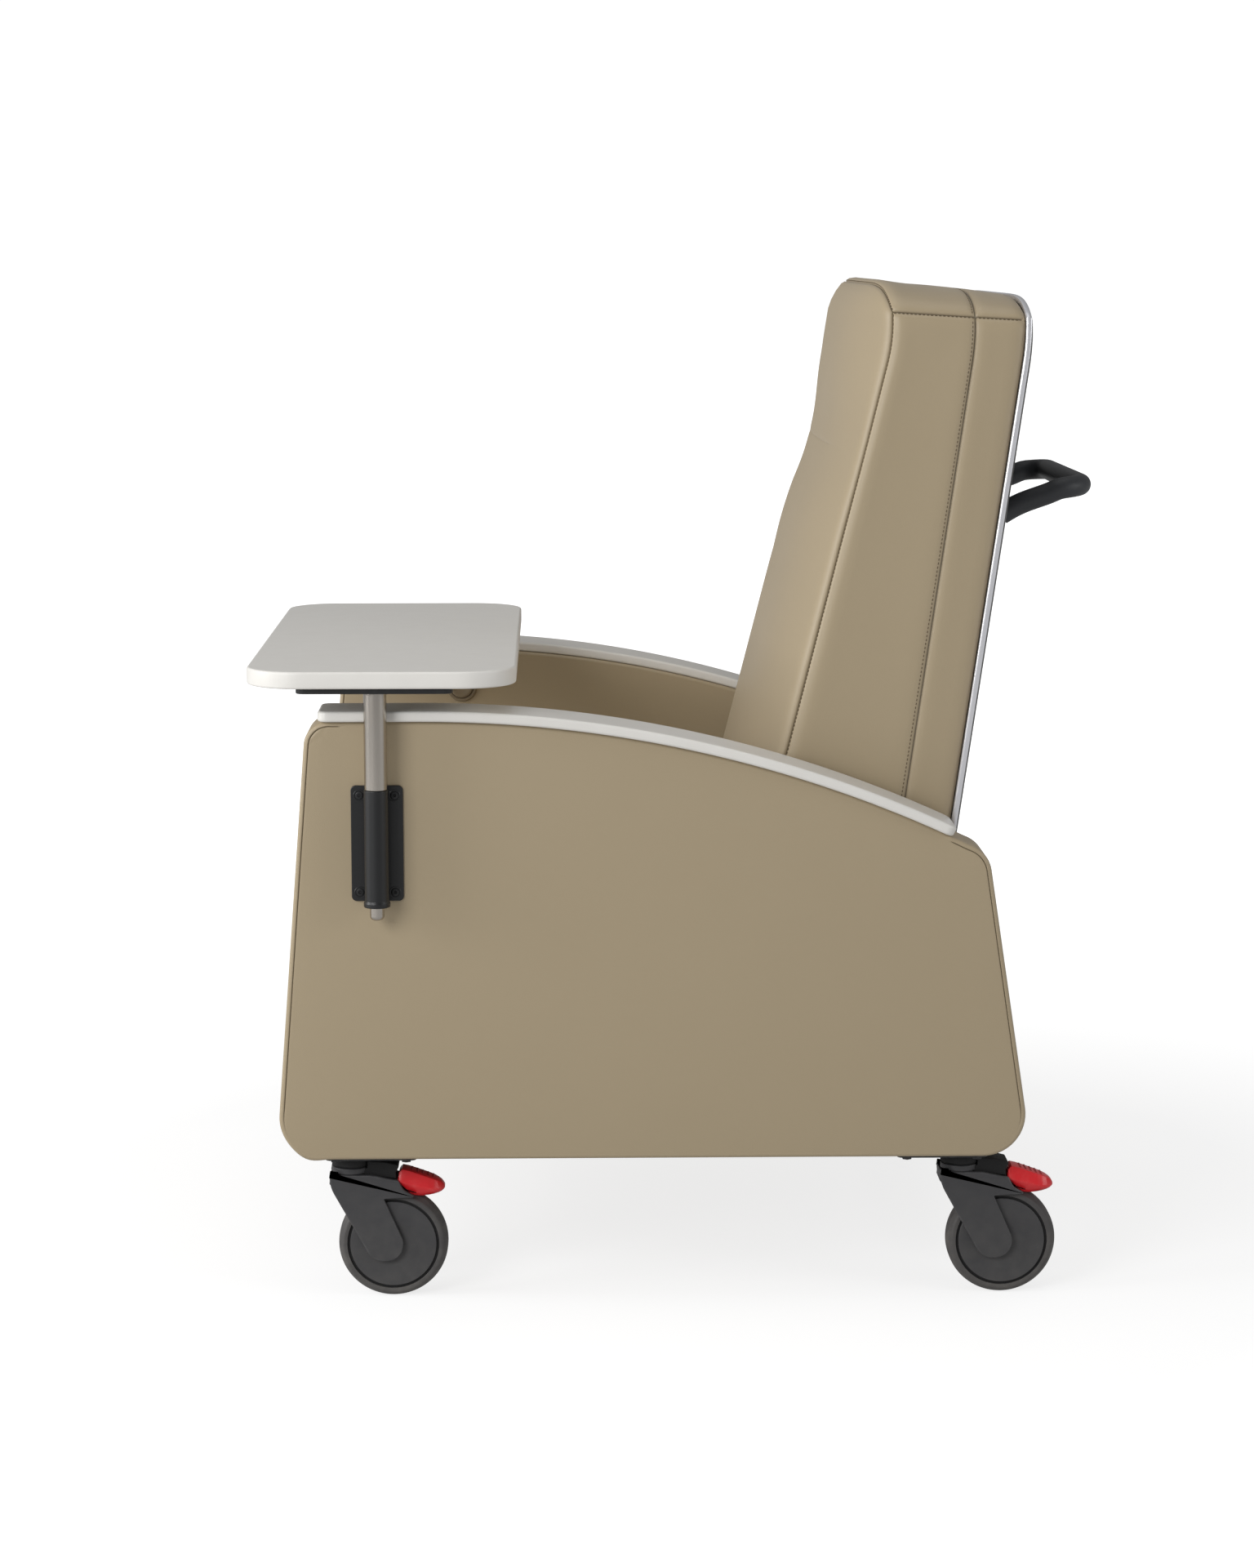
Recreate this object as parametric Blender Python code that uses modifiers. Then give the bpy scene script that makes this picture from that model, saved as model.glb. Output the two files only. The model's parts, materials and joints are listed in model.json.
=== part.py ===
"""Patient recliner chair on four braked swivel casters, with a tray that swings from its side.

Metres, +Z up. The chair faces -Y and the sitter's left is +X. Shapes are drawn in the
chair's own datum: X = 0 on its middle plane, Y = 0 near the middle of its wheelbase,
Z = 0 on the floor. The empty chair_datum then moves the whole chair so that the world
origin lies under the middle of its bounding box.
"""

from math import atan2, cos, hypot, pi, radians, sin, sqrt

import bmesh
import bpy
from mathutils import Matrix, Vector

# Running gaps
GAP = 0.0003
HOLE_PLAY = 0.0004

# Side panels and armrests
ARM_OUTER_X = 0.394
ARM_CAP_WIDTH = 0.078
ARM_CAP_THICKNESS = 0.012
ARM_CAP_FRONT_Y = -0.403
ARM_CAP_REAR_Y = 0.303
ARM_LINE_Z = 0.670
ARM_BEND_Y = -0.290
ARM_BEND_RADIUS = 1.400
PANEL_OUTER_X = 0.386
PANEL_INNER_X = 0.312
PANEL_BOTTOM_Z = 0.171
PANEL_EDGE_RADIUS = 0.006

# Seat
SEAT_HALF_WIDTH = 0.307
SEAT_FRONT_Y = -0.425
SEAT_REAR_Y = 0.014
SEAT_UNDERSIDE_Z = 0.4025
SEAT_TOP_Z = 0.495
DECK_THICKNESS = 0.016
DECK_FRONT_Y = -0.340

# Legrest
LEGREST_HALF_WIDTH = 0.298
LEGREST_FRONT_Y = -0.425
LEGREST_CUSHION_THICKNESS = 0.060
LEGREST_BOARD_THICKNESS = 0.014
LEGREST_TOP_Z = 0.390
LEGREST_BOTTOM_Z = 0.186
LEGREST_PIVOT = Vector((0.0, -0.400, 0.360))

# Back
BACK_HALF_WIDTH = 0.298
BACK_BOTTOM_Z = 0.405
BACK_SIDE_TOP_Z = 1.118
BACK_CROWN_FORWARD = 0.045
BACK_CROWN_UP = 0.034
BACK_REAR_Y_AT_FLOOR = 0.2365
BACK_REAR_LEAN = 0.1405
BACK_FRONT_Y_AT_FLOOR = -0.0387
BACK_FRONT_LEAN = 0.254
BACK_PIVOT = Vector((0.0, 0.115, 0.440))
TRIM_THICKNESS = 0.0035
TRIM_WIDTH = 0.016
SHELL_THICKNESS = 0.003
SHELL_CROWN = 0.028
SHELL_TOP_Z = 1.131
SHELL_CORNER_RADIUS = 0.028
BOARD_HALF_WIDTH = 0.235
BOARD_HALF_HEIGHT = 0.300
BOARD_THICKNESS = 0.010

# Push handle
HANDLE_RADIUS = 0.0125
HANDLE_ARM_X = 0.163
HANDLE_REAR_Y = 0.4765
HANDLE_BAR_Z = 0.914
HANDLE_RISE = 0.1
HANDLE_BEND_RADIUS = 0.030

# Hinge hardware of the back and the legrest
HINGE_PLATE_INNER_X = 0.3003
HINGE_PLATE_THICKNESS = 0.004
HINGE_PIN_RADIUS = 0.007
HINGE_PIN_END = 0.001
HINGE_FLANGE_RADIUS = 0.013
HINGE_FLANGE_GAP = 0.0006

# Gas spring
SPRING_BASE = Vector((0.0, -0.240, 0.270))
SPRING_LEVER = 0.065
SPRING_LEVER_ANGLE = radians(22.5)
SPRING_CYLINDER_RADIUS = 0.011
SPRING_ROD_RADIUS = 0.005
SPRING_CYLINDER_LENGTH = 0.225
SPRING_BORE_START = 0.030
SPRING_ROD_OVERLAP = 0.040
SPRING_LUG_X = (0.014, 0.019)
SPRING_RELIEF_HALF_WIDTH = 0.009
SPRING_RELIEF_TOP_Z = 0.392

# Tray
POST_X = 0.4085
POST_Y = -0.338
POST_RADIUS = 0.0127
SPIGOT_RADIUS = 0.008
SLEEVE_RADIUS = 0.0135
SLEEVE_BOTTOM_Z = 0.466
SLEEVE_TOP_Z = 0.597
SPIGOT_END_Z = 0.451
TRAY_OUTER_X = 0.435
TRAY_LENGTH_X = 0.738
TRAY_FRONT_Y = -0.481
TRAY_WIDTH_Y = 0.298
TRAY_TOP_Z = 0.731
TRAY_THICKNESS = 0.019
TRAY_CORNER_RADIUS = 0.062
TRAY_PLATE_THICKNESS = 0.006

# Release button on the right arm's inner face
RELEASE_Y = -0.262
RELEASE_Z = 0.620
RELEASE_RADIUS = 0.0195
BUTTON_RADIUS = 0.0145

# Casters
CASTER_X = 0.333
CASTER_FRONT_Y = -0.3745
CASTER_REAR_Y = 0.3225
CASTER_TRAIL = 0.0475
WHEEL_RADIUS = 0.0625
WHEEL_SIDES = 28
TYRE_INNER_RADIUS = 0.0502
TYRE_HALF_WIDTH = 0.0155
AXLE_RADIUS = 0.006
FORK_HALF_WIDTH = 0.0225
CASTER_PLATE_TOP_Z = PANEL_BOTTOM_Z - GAP
CASTER_PLATE_THICKNESS = 0.004
KINGPIN_RADIUS = 0.005
PEDAL_PIVOT_Y = 0.0615
PEDAL_PIVOT_Z = 0.1445
PEDAL_ROOT_RADIUS = 0.009

# Where the datum lies in the world, from the extents of tray, armrest and handle
CHAIR_X = (ARM_OUTER_X - TRAY_OUTER_X) / 2
CHAIR_Y = -(TRAY_FRONT_Y + HANDLE_REAR_Y + HANDLE_RADIUS) / 2
SIDES = (("left", 1), ("right", -1))
ARC_STEP = radians(22.5)


def clear_scene():
    """Removes every object that the startup file holds."""
    for obj in list(bpy.data.objects):
        bpy.data.objects.remove(obj)


def make_collection(name):
    """Returns a new collection linked to the scene."""
    collection = bpy.data.collections.new(name)
    bpy.context.scene.collection.children.link(collection)
    return collection


def make_material(name, colour, roughness, metallic=0.0):
    """Returns a Principled material."""
    material = bpy.data.materials.new(name)
    material.use_nodes = True
    shader = material.node_tree.nodes["Principled BSDF"]
    shader.inputs["Base Color"].default_value = (*colour, 1.0)
    shader.inputs["Roughness"].default_value = roughness
    shader.inputs["Metallic"].default_value = metallic
    return material


class Workshop:
    """The two collections, the datum and the materials that every piece uses."""

    def __init__(self):
        self.chair = make_collection("patient_recliner_chair")
        self.cutters = make_collection("cutters")
        self.datum = self.empty("chair_datum", (CHAIR_X, CHAIR_Y, 0.0), None)
        self.vinyl = make_material("taupe_vinyl", (0.40, 0.32, 0.21), 0.45)
        self.surface = make_material("offwhite_solid_surface", (0.80, 0.78, 0.74), 0.35)
        self.steel = make_material("painted_frame_steel", (0.05, 0.05, 0.055), 0.5, 0.6)
        self.bracket = make_material("black_powder_coat", (0.015, 0.016, 0.018), 0.5)
        self.stainless = make_material("brushed_stainless", (0.55, 0.53, 0.50), 0.32, 1.0)
        self.trim = make_material("pale_trim", (0.75, 0.76, 0.78), 0.3)
        self.shell = make_material("dark_shell", (0.07, 0.065, 0.06), 0.5)
        self.grip = make_material("charcoal_handle", (0.04, 0.042, 0.045), 0.55)
        self.plastic = make_material("charcoal_plastic", (0.06, 0.06, 0.063), 0.5)
        self.tyre = make_material("grey_tyre", (0.055, 0.055, 0.058), 0.7)
        self.pedal = make_material("red_plastic", (0.75, 0.015, 0.02), 0.35)
        self.board = make_material("plywood", (0.45, 0.32, 0.18), 0.7)
        self.knob = make_material("taupe_plastic", (0.27, 0.23, 0.17), 0.5)

    def empty(self, name, location, parent):
        """Returns an empty at a place given in its parent's frame."""
        obj = bpy.data.objects.new(name, None)
        obj.location = location
        obj.parent = parent
        self.chair.objects.link(obj)
        return obj

    def pivot(self, name, location):
        """Returns an empty on a joint's axis, given in the chair's datum."""
        return self.empty(name, location, self.datum)

    def add(self, obj, material, pivot=None):
        """Puts a piece, drawn in the chair's datum, on the chair or on a joint's pivot."""
        self.chair.objects.link(obj)
        obj.data.materials.clear()
        obj.data.materials.append(material)
        obj.parent = pivot or self.datum
        if pivot:
            obj.location = obj.location - pivot.location
        shade_round(obj)
        return obj

    def cutter(self, obj, parent=None):
        """Keeps a Boolean's other mesh out of the chair, in the frame of the piece it cuts."""
        self.cutters.objects.link(obj)
        obj.parent = parent or self.datum
        if parent:
            obj.location = obj.location - parent.location
        obj.hide_render = True
        obj.display_type = "WIRE"
        return obj


def shade_round(obj):
    """Shades curved faces smooth and keeps the edges between flat faces sharp."""
    obj.data.shade_smooth()
    obj.data.set_sharp_from_angle(angle=radians(35))


def mesh_object(name, shape):
    """Returns an object made from a bmesh, which it frees."""
    bmesh.ops.recalc_face_normals(shape, faces=shape.faces)
    mesh = bpy.data.meshes.new(name)
    shape.to_mesh(mesh)
    shape.free()
    return bpy.data.objects.new(name, mesh)


def box(name, low, high):
    """Returns a box between two corners."""
    shape = bmesh.new()
    bmesh.ops.create_cube(shape, size=1.0)
    low, high = Vector(low), Vector(high)
    bmesh.ops.scale(shape, vec=high - low, verts=shape.verts)
    bmesh.ops.translate(shape, vec=(low + high) / 2, verts=shape.verts)
    return mesh_object(name, shape)


def rod(name, start, end, radius, sides=16):
    """Returns a cylinder between two points."""
    start, end = Vector(start), Vector(end)
    turn = (end - start).to_track_quat("Z", "Y").to_matrix().to_4x4()
    shape = bmesh.new()
    bmesh.ops.create_cone(
        shape,
        cap_ends=True,
        segments=sides,
        radius1=radius,
        radius2=radius,
        depth=(end - start).length,
        matrix=Matrix.Translation((start + end) / 2) @ turn,
    )
    return mesh_object(name, shape)


def arc(centre, radius, start, end):
    """Returns points on an arc, both ends included, with angles in radians."""
    steps = max(1, round(abs(end - start) / ARC_STEP))
    angles = [start + (end - start) * i / steps for i in range(steps + 1)]
    return [(centre[0] + radius * cos(a), centre[1] + radius * sin(a)) for a in angles]


def rounded(corners):
    """Returns the points of a polygon whose corners (a, b, radius) are rounded."""
    points = []
    for i, (a, b, radius) in enumerate(corners):
        if not radius:
            points.append((a, b))
            continue
        here = Vector((a, b))
        back = (Vector(corners[i - 1][:2]) - here).normalized()
        ahead = (Vector(corners[(i + 1) % len(corners)][:2]) - here).normalized()
        half = back.angle(ahead) / 2
        centre = here + (back + ahead).normalized() * (radius / sin(half))
        reach = radius / (sin(half) / cos(half))
        first, last = here + back * reach - centre, here + ahead * reach - centre
        start = atan2(first.y, first.x)
        turn = (atan2(last.y, last.x) - start + pi) % (2 * pi) - pi
        points += arc(centre, radius, start, start + turn)
    return points


def rectangle(low, high, radius):
    """Returns a rounded rectangle's points."""
    corners = ((low[0], low[1]), (high[0], low[1]), (high[0], high[1]), (low[0], high[1]))
    return rounded([(a, b, radius) for a, b in corners])


def curve_to_mesh(obj):
    """Returns a mesh object of a curve's solid, with its caps welded on."""
    bpy.context.scene.collection.objects.link(obj)
    bpy.context.view_layer.update()
    evaluated = obj.evaluated_get(bpy.context.evaluated_depsgraph_get())
    mesh = bpy.data.meshes.new_from_object(evaluated)
    shape = bmesh.new()
    shape.from_mesh(mesh)
    bmesh.ops.remove_doubles(shape, verts=shape.verts, dist=1e-6)
    bmesh.ops.recalc_face_normals(shape, faces=shape.faces)
    shape.transform(obj.matrix_world)
    shape.to_mesh(mesh)
    shape.free()
    name = obj.name
    mesh.name = name
    bpy.data.objects.remove(obj)
    return bpy.data.objects.new(name, mesh)


def spline_curve(name, points, cyclic, dimensions):
    """Returns a curve object with one straight-segment spline through the points."""
    curve = bpy.data.curves.new(name, "CURVE")
    curve.dimensions = dimensions
    spline = curve.splines.new("POLY")
    spline.points.add(len(points) - 1)
    for point, place in zip(spline.points, points):
        point.co = (*place, *([0.0] * (3 - len(place))), 1.0)
    spline.use_cyclic_u = cyclic
    return bpy.data.objects.new(name, curve)


# Each sketch plane turns the sketch's own axes and its thickness into the chair's axes.
SKETCH_PLANES = {
    "YZ": Matrix(((0, 0, 1), (1, 0, 0), (0, 1, 0))),
    "XY": Matrix.Identity(3),
    "XZ": Matrix(((1, 0, 0), (0, 0, -1), (0, 1, 0))),
}


def sheet(name, points, plane, low, high):
    """Returns a flat outline given thickness from low to high along its plane's normal."""
    obj = spline_curve(name, points, True, "2D")
    obj.data.fill_mode = "BOTH"
    obj.data.extrude = (high - low) / 2
    turn = SKETCH_PLANES[plane].to_4x4()
    obj.matrix_world = turn @ Matrix.Translation((0.0, 0.0, (low + high) / 2))
    return curve_to_mesh(obj)


def tube(name, points, radius):
    """Returns a round bar through the points, closed at both ends."""
    obj = spline_curve(name, points, False, "3D")
    obj.data.bevel_depth = radius
    obj.data.bevel_resolution = 2
    obj.data.use_fill_caps = True
    return curve_to_mesh(obj)


def turned(name, profile, axis, centre, closed=False, sides=20, start=0.0):
    """Returns a lathe shape: profile holds (radius, height) from the top of its outer side down."""
    shape = bmesh.new()
    verts = [shape.verts.new((radius, 0.0, height)) for radius, height in profile]
    pairs = list(zip(verts, verts[1:]))
    if closed:
        pairs.append((verts[-1], verts[0]))
    for pair in pairs:
        shape.edges.new(pair)
    shape.transform(Matrix.Rotation(start, 4, "Z"))
    mesh = bpy.data.meshes.new(name)
    shape.to_mesh(mesh)
    shape.free()
    obj = bpy.data.objects.new(name, mesh)
    screw = obj.modifiers.new("lathe", "SCREW")
    screw.steps = screw.render_steps = sides
    screw.use_merge_vertices = True
    screw.merge_threshold = 1e-5
    if axis == "X":
        obj.rotation_euler = (0.0, pi / 2, 0.0)
    obj.location = centre
    return obj


def bevel(obj, width, segments=2, angle=50):
    """Rounds an object's edges that are sharper than the angle."""
    modifier = obj.modifiers.new("edges", "BEVEL")
    modifier.width = width
    modifier.segments = segments
    modifier.limit_method = "ANGLE"
    modifier.angle_limit = radians(angle)
    return obj


def combine(obj, other, operation):
    """Adds a Boolean with another mesh object."""
    modifier = obj.modifiers.new(operation.lower(), "BOOLEAN")
    modifier.operation = operation
    modifier.object = other
    return obj


def frozen(obj):
    """Returns the object's mesh with its modifiers applied, for pieces that share it."""
    bpy.context.view_layer.update()
    evaluated = obj.evaluated_get(bpy.context.evaluated_depsgraph_get())
    return bpy.data.meshes.new_from_object(evaluated)


def arm_height(y, offset=0.0):
    """Height of the armrest's underside, or of a line at an offset above it."""
    if y <= ARM_BEND_Y:
        return ARM_LINE_Z + offset
    radius = ARM_BEND_RADIUS + offset
    return ARM_LINE_Z - ARM_BEND_RADIUS + sqrt(radius**2 - (y - ARM_BEND_Y) ** 2)


def arm_line(start, end, offset, count=10):
    """Points along the armrest's curve between two places, from front to rear."""
    bend = [ARM_BEND_Y + (end - ARM_BEND_Y) * i / count for i in range(count + 1)]
    return [(y, arm_height(y, offset)) for y in [start, *bend]]


def panel_outline():
    """A side panel's outline: leaning front and rear, and a top that follows the armrest."""
    shoulder_y, shoulder_z = 0.3445, 0.5195
    top = arm_line(-0.385, ARM_CAP_REAR_Y, -GAP) + [(0.322, arm_height(0.322, -GAP))]
    top = [(y, z, 0.0) for y, z in top]
    return rounded(
        [
            (0.3985, PANEL_BOTTOM_Z, 0.048),
            (shoulder_y, shoulder_z, 0.035),
            *reversed(top),
            (-0.4167, ARM_LINE_Z - GAP, 0.028),
            (-0.4560, PANEL_BOTTOM_Z, 0.048),
        ]
    )


def make_side_panels(shop):
    """Upholstered slabs that carry the arms, with a pocket for the release button."""
    for side, sign in SIDES:
        low, high = sorted((sign * PANEL_INNER_X, sign * PANEL_OUTER_X))
        panel = sheet(f"side_panel_{side}", panel_outline(), "YZ", low, high)
        bevel(panel, PANEL_EDGE_RADIUS)
        if side == "right":
            start = (-PANEL_INNER_X - 0.008, RELEASE_Y, RELEASE_Z)
            end = (-PANEL_INNER_X + 0.008, RELEASE_Y, RELEASE_Z)
            pocket = shop.cutter(rod("release_pocket", start, end, BUTTON_RADIUS + HOLE_PLAY))
            combine(panel, pocket, "DIFFERENCE")
        shop.add(panel, shop.vinyl)


def make_armrests(shop):
    """Solid caps that run level and then sweep down to the rear."""
    lower = arm_line(ARM_CAP_FRONT_Y, ARM_CAP_REAR_Y, 0.0)
    upper = arm_line(ARM_CAP_FRONT_Y, ARM_CAP_REAR_Y, ARM_CAP_THICKNESS)
    for side, sign in SIDES:
        low, high = sorted((sign * (ARM_OUTER_X - ARM_CAP_WIDTH), sign * ARM_OUTER_X))
        cap = sheet(f"armrest_{side}", lower + upper[::-1], "YZ", low, high)
        shop.add(bevel(cap, 0.0035), shop.surface)


def make_base_frame(shop):
    """A welded ladder frame between the side panels, with the gas spring's lug on it."""
    low_z, high_z = 0.186, 0.222
    reach = PANEL_INNER_X - GAP
    frame = box("base_frame", (-reach, -0.345, low_z), (reach, -0.310, high_z))
    members = (
        ("rear_member", (-reach, 0.300, low_z), (reach, 0.335, high_z)),
        ("left_member", (0.222, -0.330, low_z + 0.002), (0.252, 0.320, high_z - 0.002)),
        ("right_member", (-0.252, -0.330, low_z + 0.002), (-0.222, 0.320, high_z - 0.002)),
        ("middle_member", (-0.240, -0.255, low_z + 0.004), (0.240, -0.225, high_z - 0.004)),
        ("spring_lug", (SPRING_LUG_X[0], -0.252, 0.200), (SPRING_LUG_X[1], -0.228, 0.284)),
    )
    for name, low, high in members:
        combine(frame, shop.cutter(box(name, low, high)), "UNION")
    shop.add(frame, shop.steel)


def make_seat(shop):
    """The rear cover, the deck and the seat cushion."""
    reach = PANEL_INNER_X - GAP
    cover = box("rear_panel", (-reach, 0.342, 0.180), (reach, 0.362, 0.330))
    shop.add(bevel(cover, 0.005), shop.vinyl)
    deck_z = SEAT_UNDERSIDE_Z - GAP
    deck = box(
        "seat_deck",
        (-reach, DECK_FRONT_Y, deck_z - DECK_THICKNESS),
        (reach, SEAT_REAR_Y - 0.004, deck_z),
    )
    shop.add(deck, shop.board)
    low = (-SEAT_HALF_WIDTH, SEAT_FRONT_Y, SEAT_UNDERSIDE_Z)
    high = (SEAT_HALF_WIDTH, SEAT_REAR_Y, SEAT_TOP_Z)
    shop.add(bevel(box("seat_cushion", low, high), 0.022, 3), shop.vinyl)


def hinge_hole(shop, name, sign, place, pivot):
    """Cutter for a hinge plate's hole on one side."""
    start = (sign * (HINGE_PLATE_INNER_X - 0.002), place.y, place.z)
    end = (sign * (HINGE_PLATE_INNER_X + 0.010), place.y, place.z)
    return shop.cutter(rod(name, start, end, HINGE_PIN_RADIUS + HOLE_PLAY), pivot)


def make_hinge(shop, name, outline, place, pivot):
    """A plate on each side of a moving piece, on flanged pins fixed to the side panels."""
    plate_outer = HINGE_PLATE_INNER_X + HINGE_PLATE_THICKNESS
    for side, sign in SIDES:
        low, high = sorted((sign * HINGE_PLATE_INNER_X, sign * plate_outer))
        plate = sheet(f"{name}_plate_{side}", outline, "YZ", low, high)
        hole = hinge_hole(shop, f"{name}_hole_{side}", sign, place, pivot)
        shop.add(combine(plate, hole, "DIFFERENCE"), shop.steel, pivot)
        end = PANEL_INNER_X - GAP
        flange = plate_outer + HINGE_FLANGE_GAP
        tip = HINGE_PLATE_INNER_X - HINGE_PIN_END
        profile = [
            (0.0, end),
            (HINGE_FLANGE_RADIUS, end),
            (HINGE_FLANGE_RADIUS, flange),
            (HINGE_PIN_RADIUS, flange),
            (HINGE_PIN_RADIUS, tip),
            (0.0, tip),
        ]
        pin = turned(f"{name}_pin_{side}", profile, "X", (0.0, place.y, place.z))
        if sign < 0:
            pin.rotation_euler = (0.0, -pi / 2, 0.0)
        shop.add(pin, shop.stainless)


def make_legrest(shop):
    """A padded board that hangs in front of the seat and swings up on its hinge plates."""
    pivot = shop.pivot("legrest_pivot", LEGREST_PIVOT)
    board_y = LEGREST_FRONT_Y + LEGREST_CUSHION_THICKNESS + GAP
    cushion = box(
        "legrest_cushion",
        (-LEGREST_HALF_WIDTH, LEGREST_FRONT_Y, LEGREST_BOTTOM_Z),
        (LEGREST_HALF_WIDTH, board_y - GAP, LEGREST_TOP_Z),
    )
    shop.add(bevel(cushion, 0.012, 3), shop.vinyl, pivot)
    board = box(
        "legrest_board",
        (-LEGREST_HALF_WIDTH + 0.006, board_y, LEGREST_BOTTOM_Z + 0.006),
        (LEGREST_HALF_WIDTH - 0.006, board_y + LEGREST_BOARD_THICKNESS, LEGREST_TOP_Z - 0.006),
    )
    shop.add(board, shop.board, pivot)
    y, z = LEGREST_PIVOT.y, LEGREST_PIVOT.z
    outline = rounded(
        [
            (y - 0.015, z + 0.015, 0.013),
            (y + 0.016, z + 0.015, 0.013),
            (y + 0.044, z - 0.110, 0.008),
            (y + 0.018, z - 0.110, 0.008),
        ]
    )
    make_hinge(shop, "legrest", outline, LEGREST_PIVOT, pivot)


def back_rear_y(z):
    """Where the back cushion's flat rear face lies at a height."""
    return BACK_REAR_Y_AT_FLOOR + BACK_REAR_LEAN * z


def back_front_y(z):
    """Where the front edge of the back's side face lies at a height."""
    return BACK_FRONT_Y_AT_FLOOR + BACK_FRONT_LEAN * z


def crown(across):
    """How full the padding is, from 1 on the middle plane to 0 at the side."""
    return 1.0 - abs(across) ** 3.2


def make_back_cushion(shop, pivot):
    """A wedge of foam, fullest on its middle plane at the front and at the top."""
    shape = bmesh.new()
    bmesh.ops.create_cube(shape, size=2.0)
    bmesh.ops.subdivide_edges(shape, edges=shape.edges, cuts=7, use_grid_fill=True)
    for vert in shape.verts:
        across, depth, height = vert.co
        depth = (depth + 1) / 2
        height = (height + 1) / 2
        full = crown(across)
        top = BACK_SIDE_TOP_Z + full * (BACK_CROWN_UP - 0.010 * depth) - 0.008 * depth
        z = BACK_BOTTOM_Z + (top - BACK_BOTTOM_Z) * height
        front = back_front_y(z) - BACK_CROWN_FORWARD * full
        vert.co = (across * BACK_HALF_WIDTH, front + (back_rear_y(z) - front) * depth, z)
    shop.add(bevel(mesh_object("back_cushion", shape), 0.012, 2, 60), shop.vinyl, pivot)


def shell_point(across, up):
    """Maps a point of a square onto the shell's rounded outline."""
    reach = max(abs(across), abs(up))
    if reach == 0:
        return 0.0, 0.0
    half_x = BACK_HALF_WIDTH
    half_z = (SHELL_TOP_Z - BACK_BOTTOM_Z) / 2
    radius = SHELL_CORNER_RADIUS
    a, b = across / reach * half_x, up / reach * half_z
    over_a, over_b = abs(a) - (half_x - radius), abs(b) - (half_z - radius)
    if over_a > 0 and over_b > 0:
        scale = radius / hypot(over_a, over_b)
        a = (half_x - radius + over_a * scale) * (1 if a > 0 else -1)
        b = (half_z - radius + over_b * scale) * (1 if b > 0 else -1)
    return a * reach, b * reach


def rear_matrix():
    """The frame of the back's rear plane: X across, Z up the slope, Y out of the rear."""
    lean = atan2(BACK_REAR_LEAN, 1.0)
    middle_z = (SHELL_TOP_Z + BACK_BOTTOM_Z) / 2
    place = Matrix.Translation((0.0, back_rear_y(middle_z), middle_z))
    return place @ Matrix.Rotation(-lean, 4, "X")


def make_back_shell(shop, pivot):
    """The domed rear shell, cut for the handle's arms, and the trim strip under its rim."""
    shape = bmesh.new()
    bmesh.ops.create_grid(shape, x_segments=12, y_segments=14, size=1.0)
    for vert in shape.verts:
        across, up = vert.co.x, vert.co.y
        x, z = shell_point(across, up)
        dome = SHELL_CROWN * (1.0 - max(abs(across), abs(up)) ** 3)
        vert.co = (x, TRIM_THICKNESS + 2 * GAP + dome, z)
    shape.transform(rear_matrix())
    shell = mesh_object("back_shell", shape)
    facing_rear = shell.data.polygons[len(shell.data.polygons) // 2].normal.y > 0
    thicken = shell.modifiers.new("wall", "SOLIDIFY")
    thicken.thickness = SHELL_THICKNESS
    thicken.offset = 1.0 if facing_rear else -1.0
    for side, sign in SIDES:
        route = handle_arm(sign)
        hole = shop.cutter(tube(f"handle_hole_{side}", route, HANDLE_RADIUS + 0.001), pivot)
        combine(shell, hole, "DIFFERENCE")
    shop.add(shell, shop.shell, pivot)

    half_z = (SHELL_TOP_Z - BACK_BOTTOM_Z) / 2
    outer = rectangle((-BACK_HALF_WIDTH, -half_z), (BACK_HALF_WIDTH, half_z), SHELL_CORNER_RADIUS)
    inner_x, inner_z = BACK_HALF_WIDTH - TRIM_WIDTH, half_z - TRIM_WIDTH
    inner_radius = SHELL_CORNER_RADIUS - TRIM_WIDTH / 2
    inner = rectangle((-inner_x, -inner_z), (inner_x, inner_z), inner_radius)
    trim = sheet("back_trim", outer, "XZ", -TRIM_THICKNESS - GAP, -GAP)
    window = sheet("trim_window", inner, "XZ", -TRIM_THICKNESS - 0.01, 0.01)
    for obj in (trim, window):
        obj.data.transform(rear_matrix())
    combine(trim, shop.cutter(window, pivot), "DIFFERENCE")
    shop.add(trim, shop.trim, pivot)


def handle_arm(sign):
    """Centre line of one handle arm, from the back board out through the shell."""
    profile = ((0.380, 0.881), (0.393, 0.889), (0.407, 0.8955), (0.423, 0.901), (0.439, 0.9065))
    return [(sign * HANDLE_ARM_X, y, z) for y, z in profile]


def make_handle(shop, pivot):
    """One bent tube: two arms out of the shell and a level bar between them."""
    corner = arc(
        (HANDLE_ARM_X - HANDLE_BEND_RADIUS, HANDLE_REAR_Y - HANDLE_BEND_RADIUS),
        HANDLE_BEND_RADIUS,
        0.0,
        pi / 2,
    )
    bend = [(x, y, HANDLE_BAR_Z - (HANDLE_REAR_Y - y) * HANDLE_RISE) for x, y in corner]
    left = handle_arm(1) + bend
    right = [(-x, y, z) for x, y, z in reversed(left)]
    shop.add(tube("push_handle", left + right, HANDLE_RADIUS), shop.grip, pivot)


def spring_lever_end():
    """Rest place of the lever's end, under the back's pivot."""
    offset = Vector((0.0, sin(SPRING_LEVER_ANGLE), -cos(SPRING_LEVER_ANGLE)))
    return BACK_PIVOT + offset * SPRING_LEVER


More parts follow.
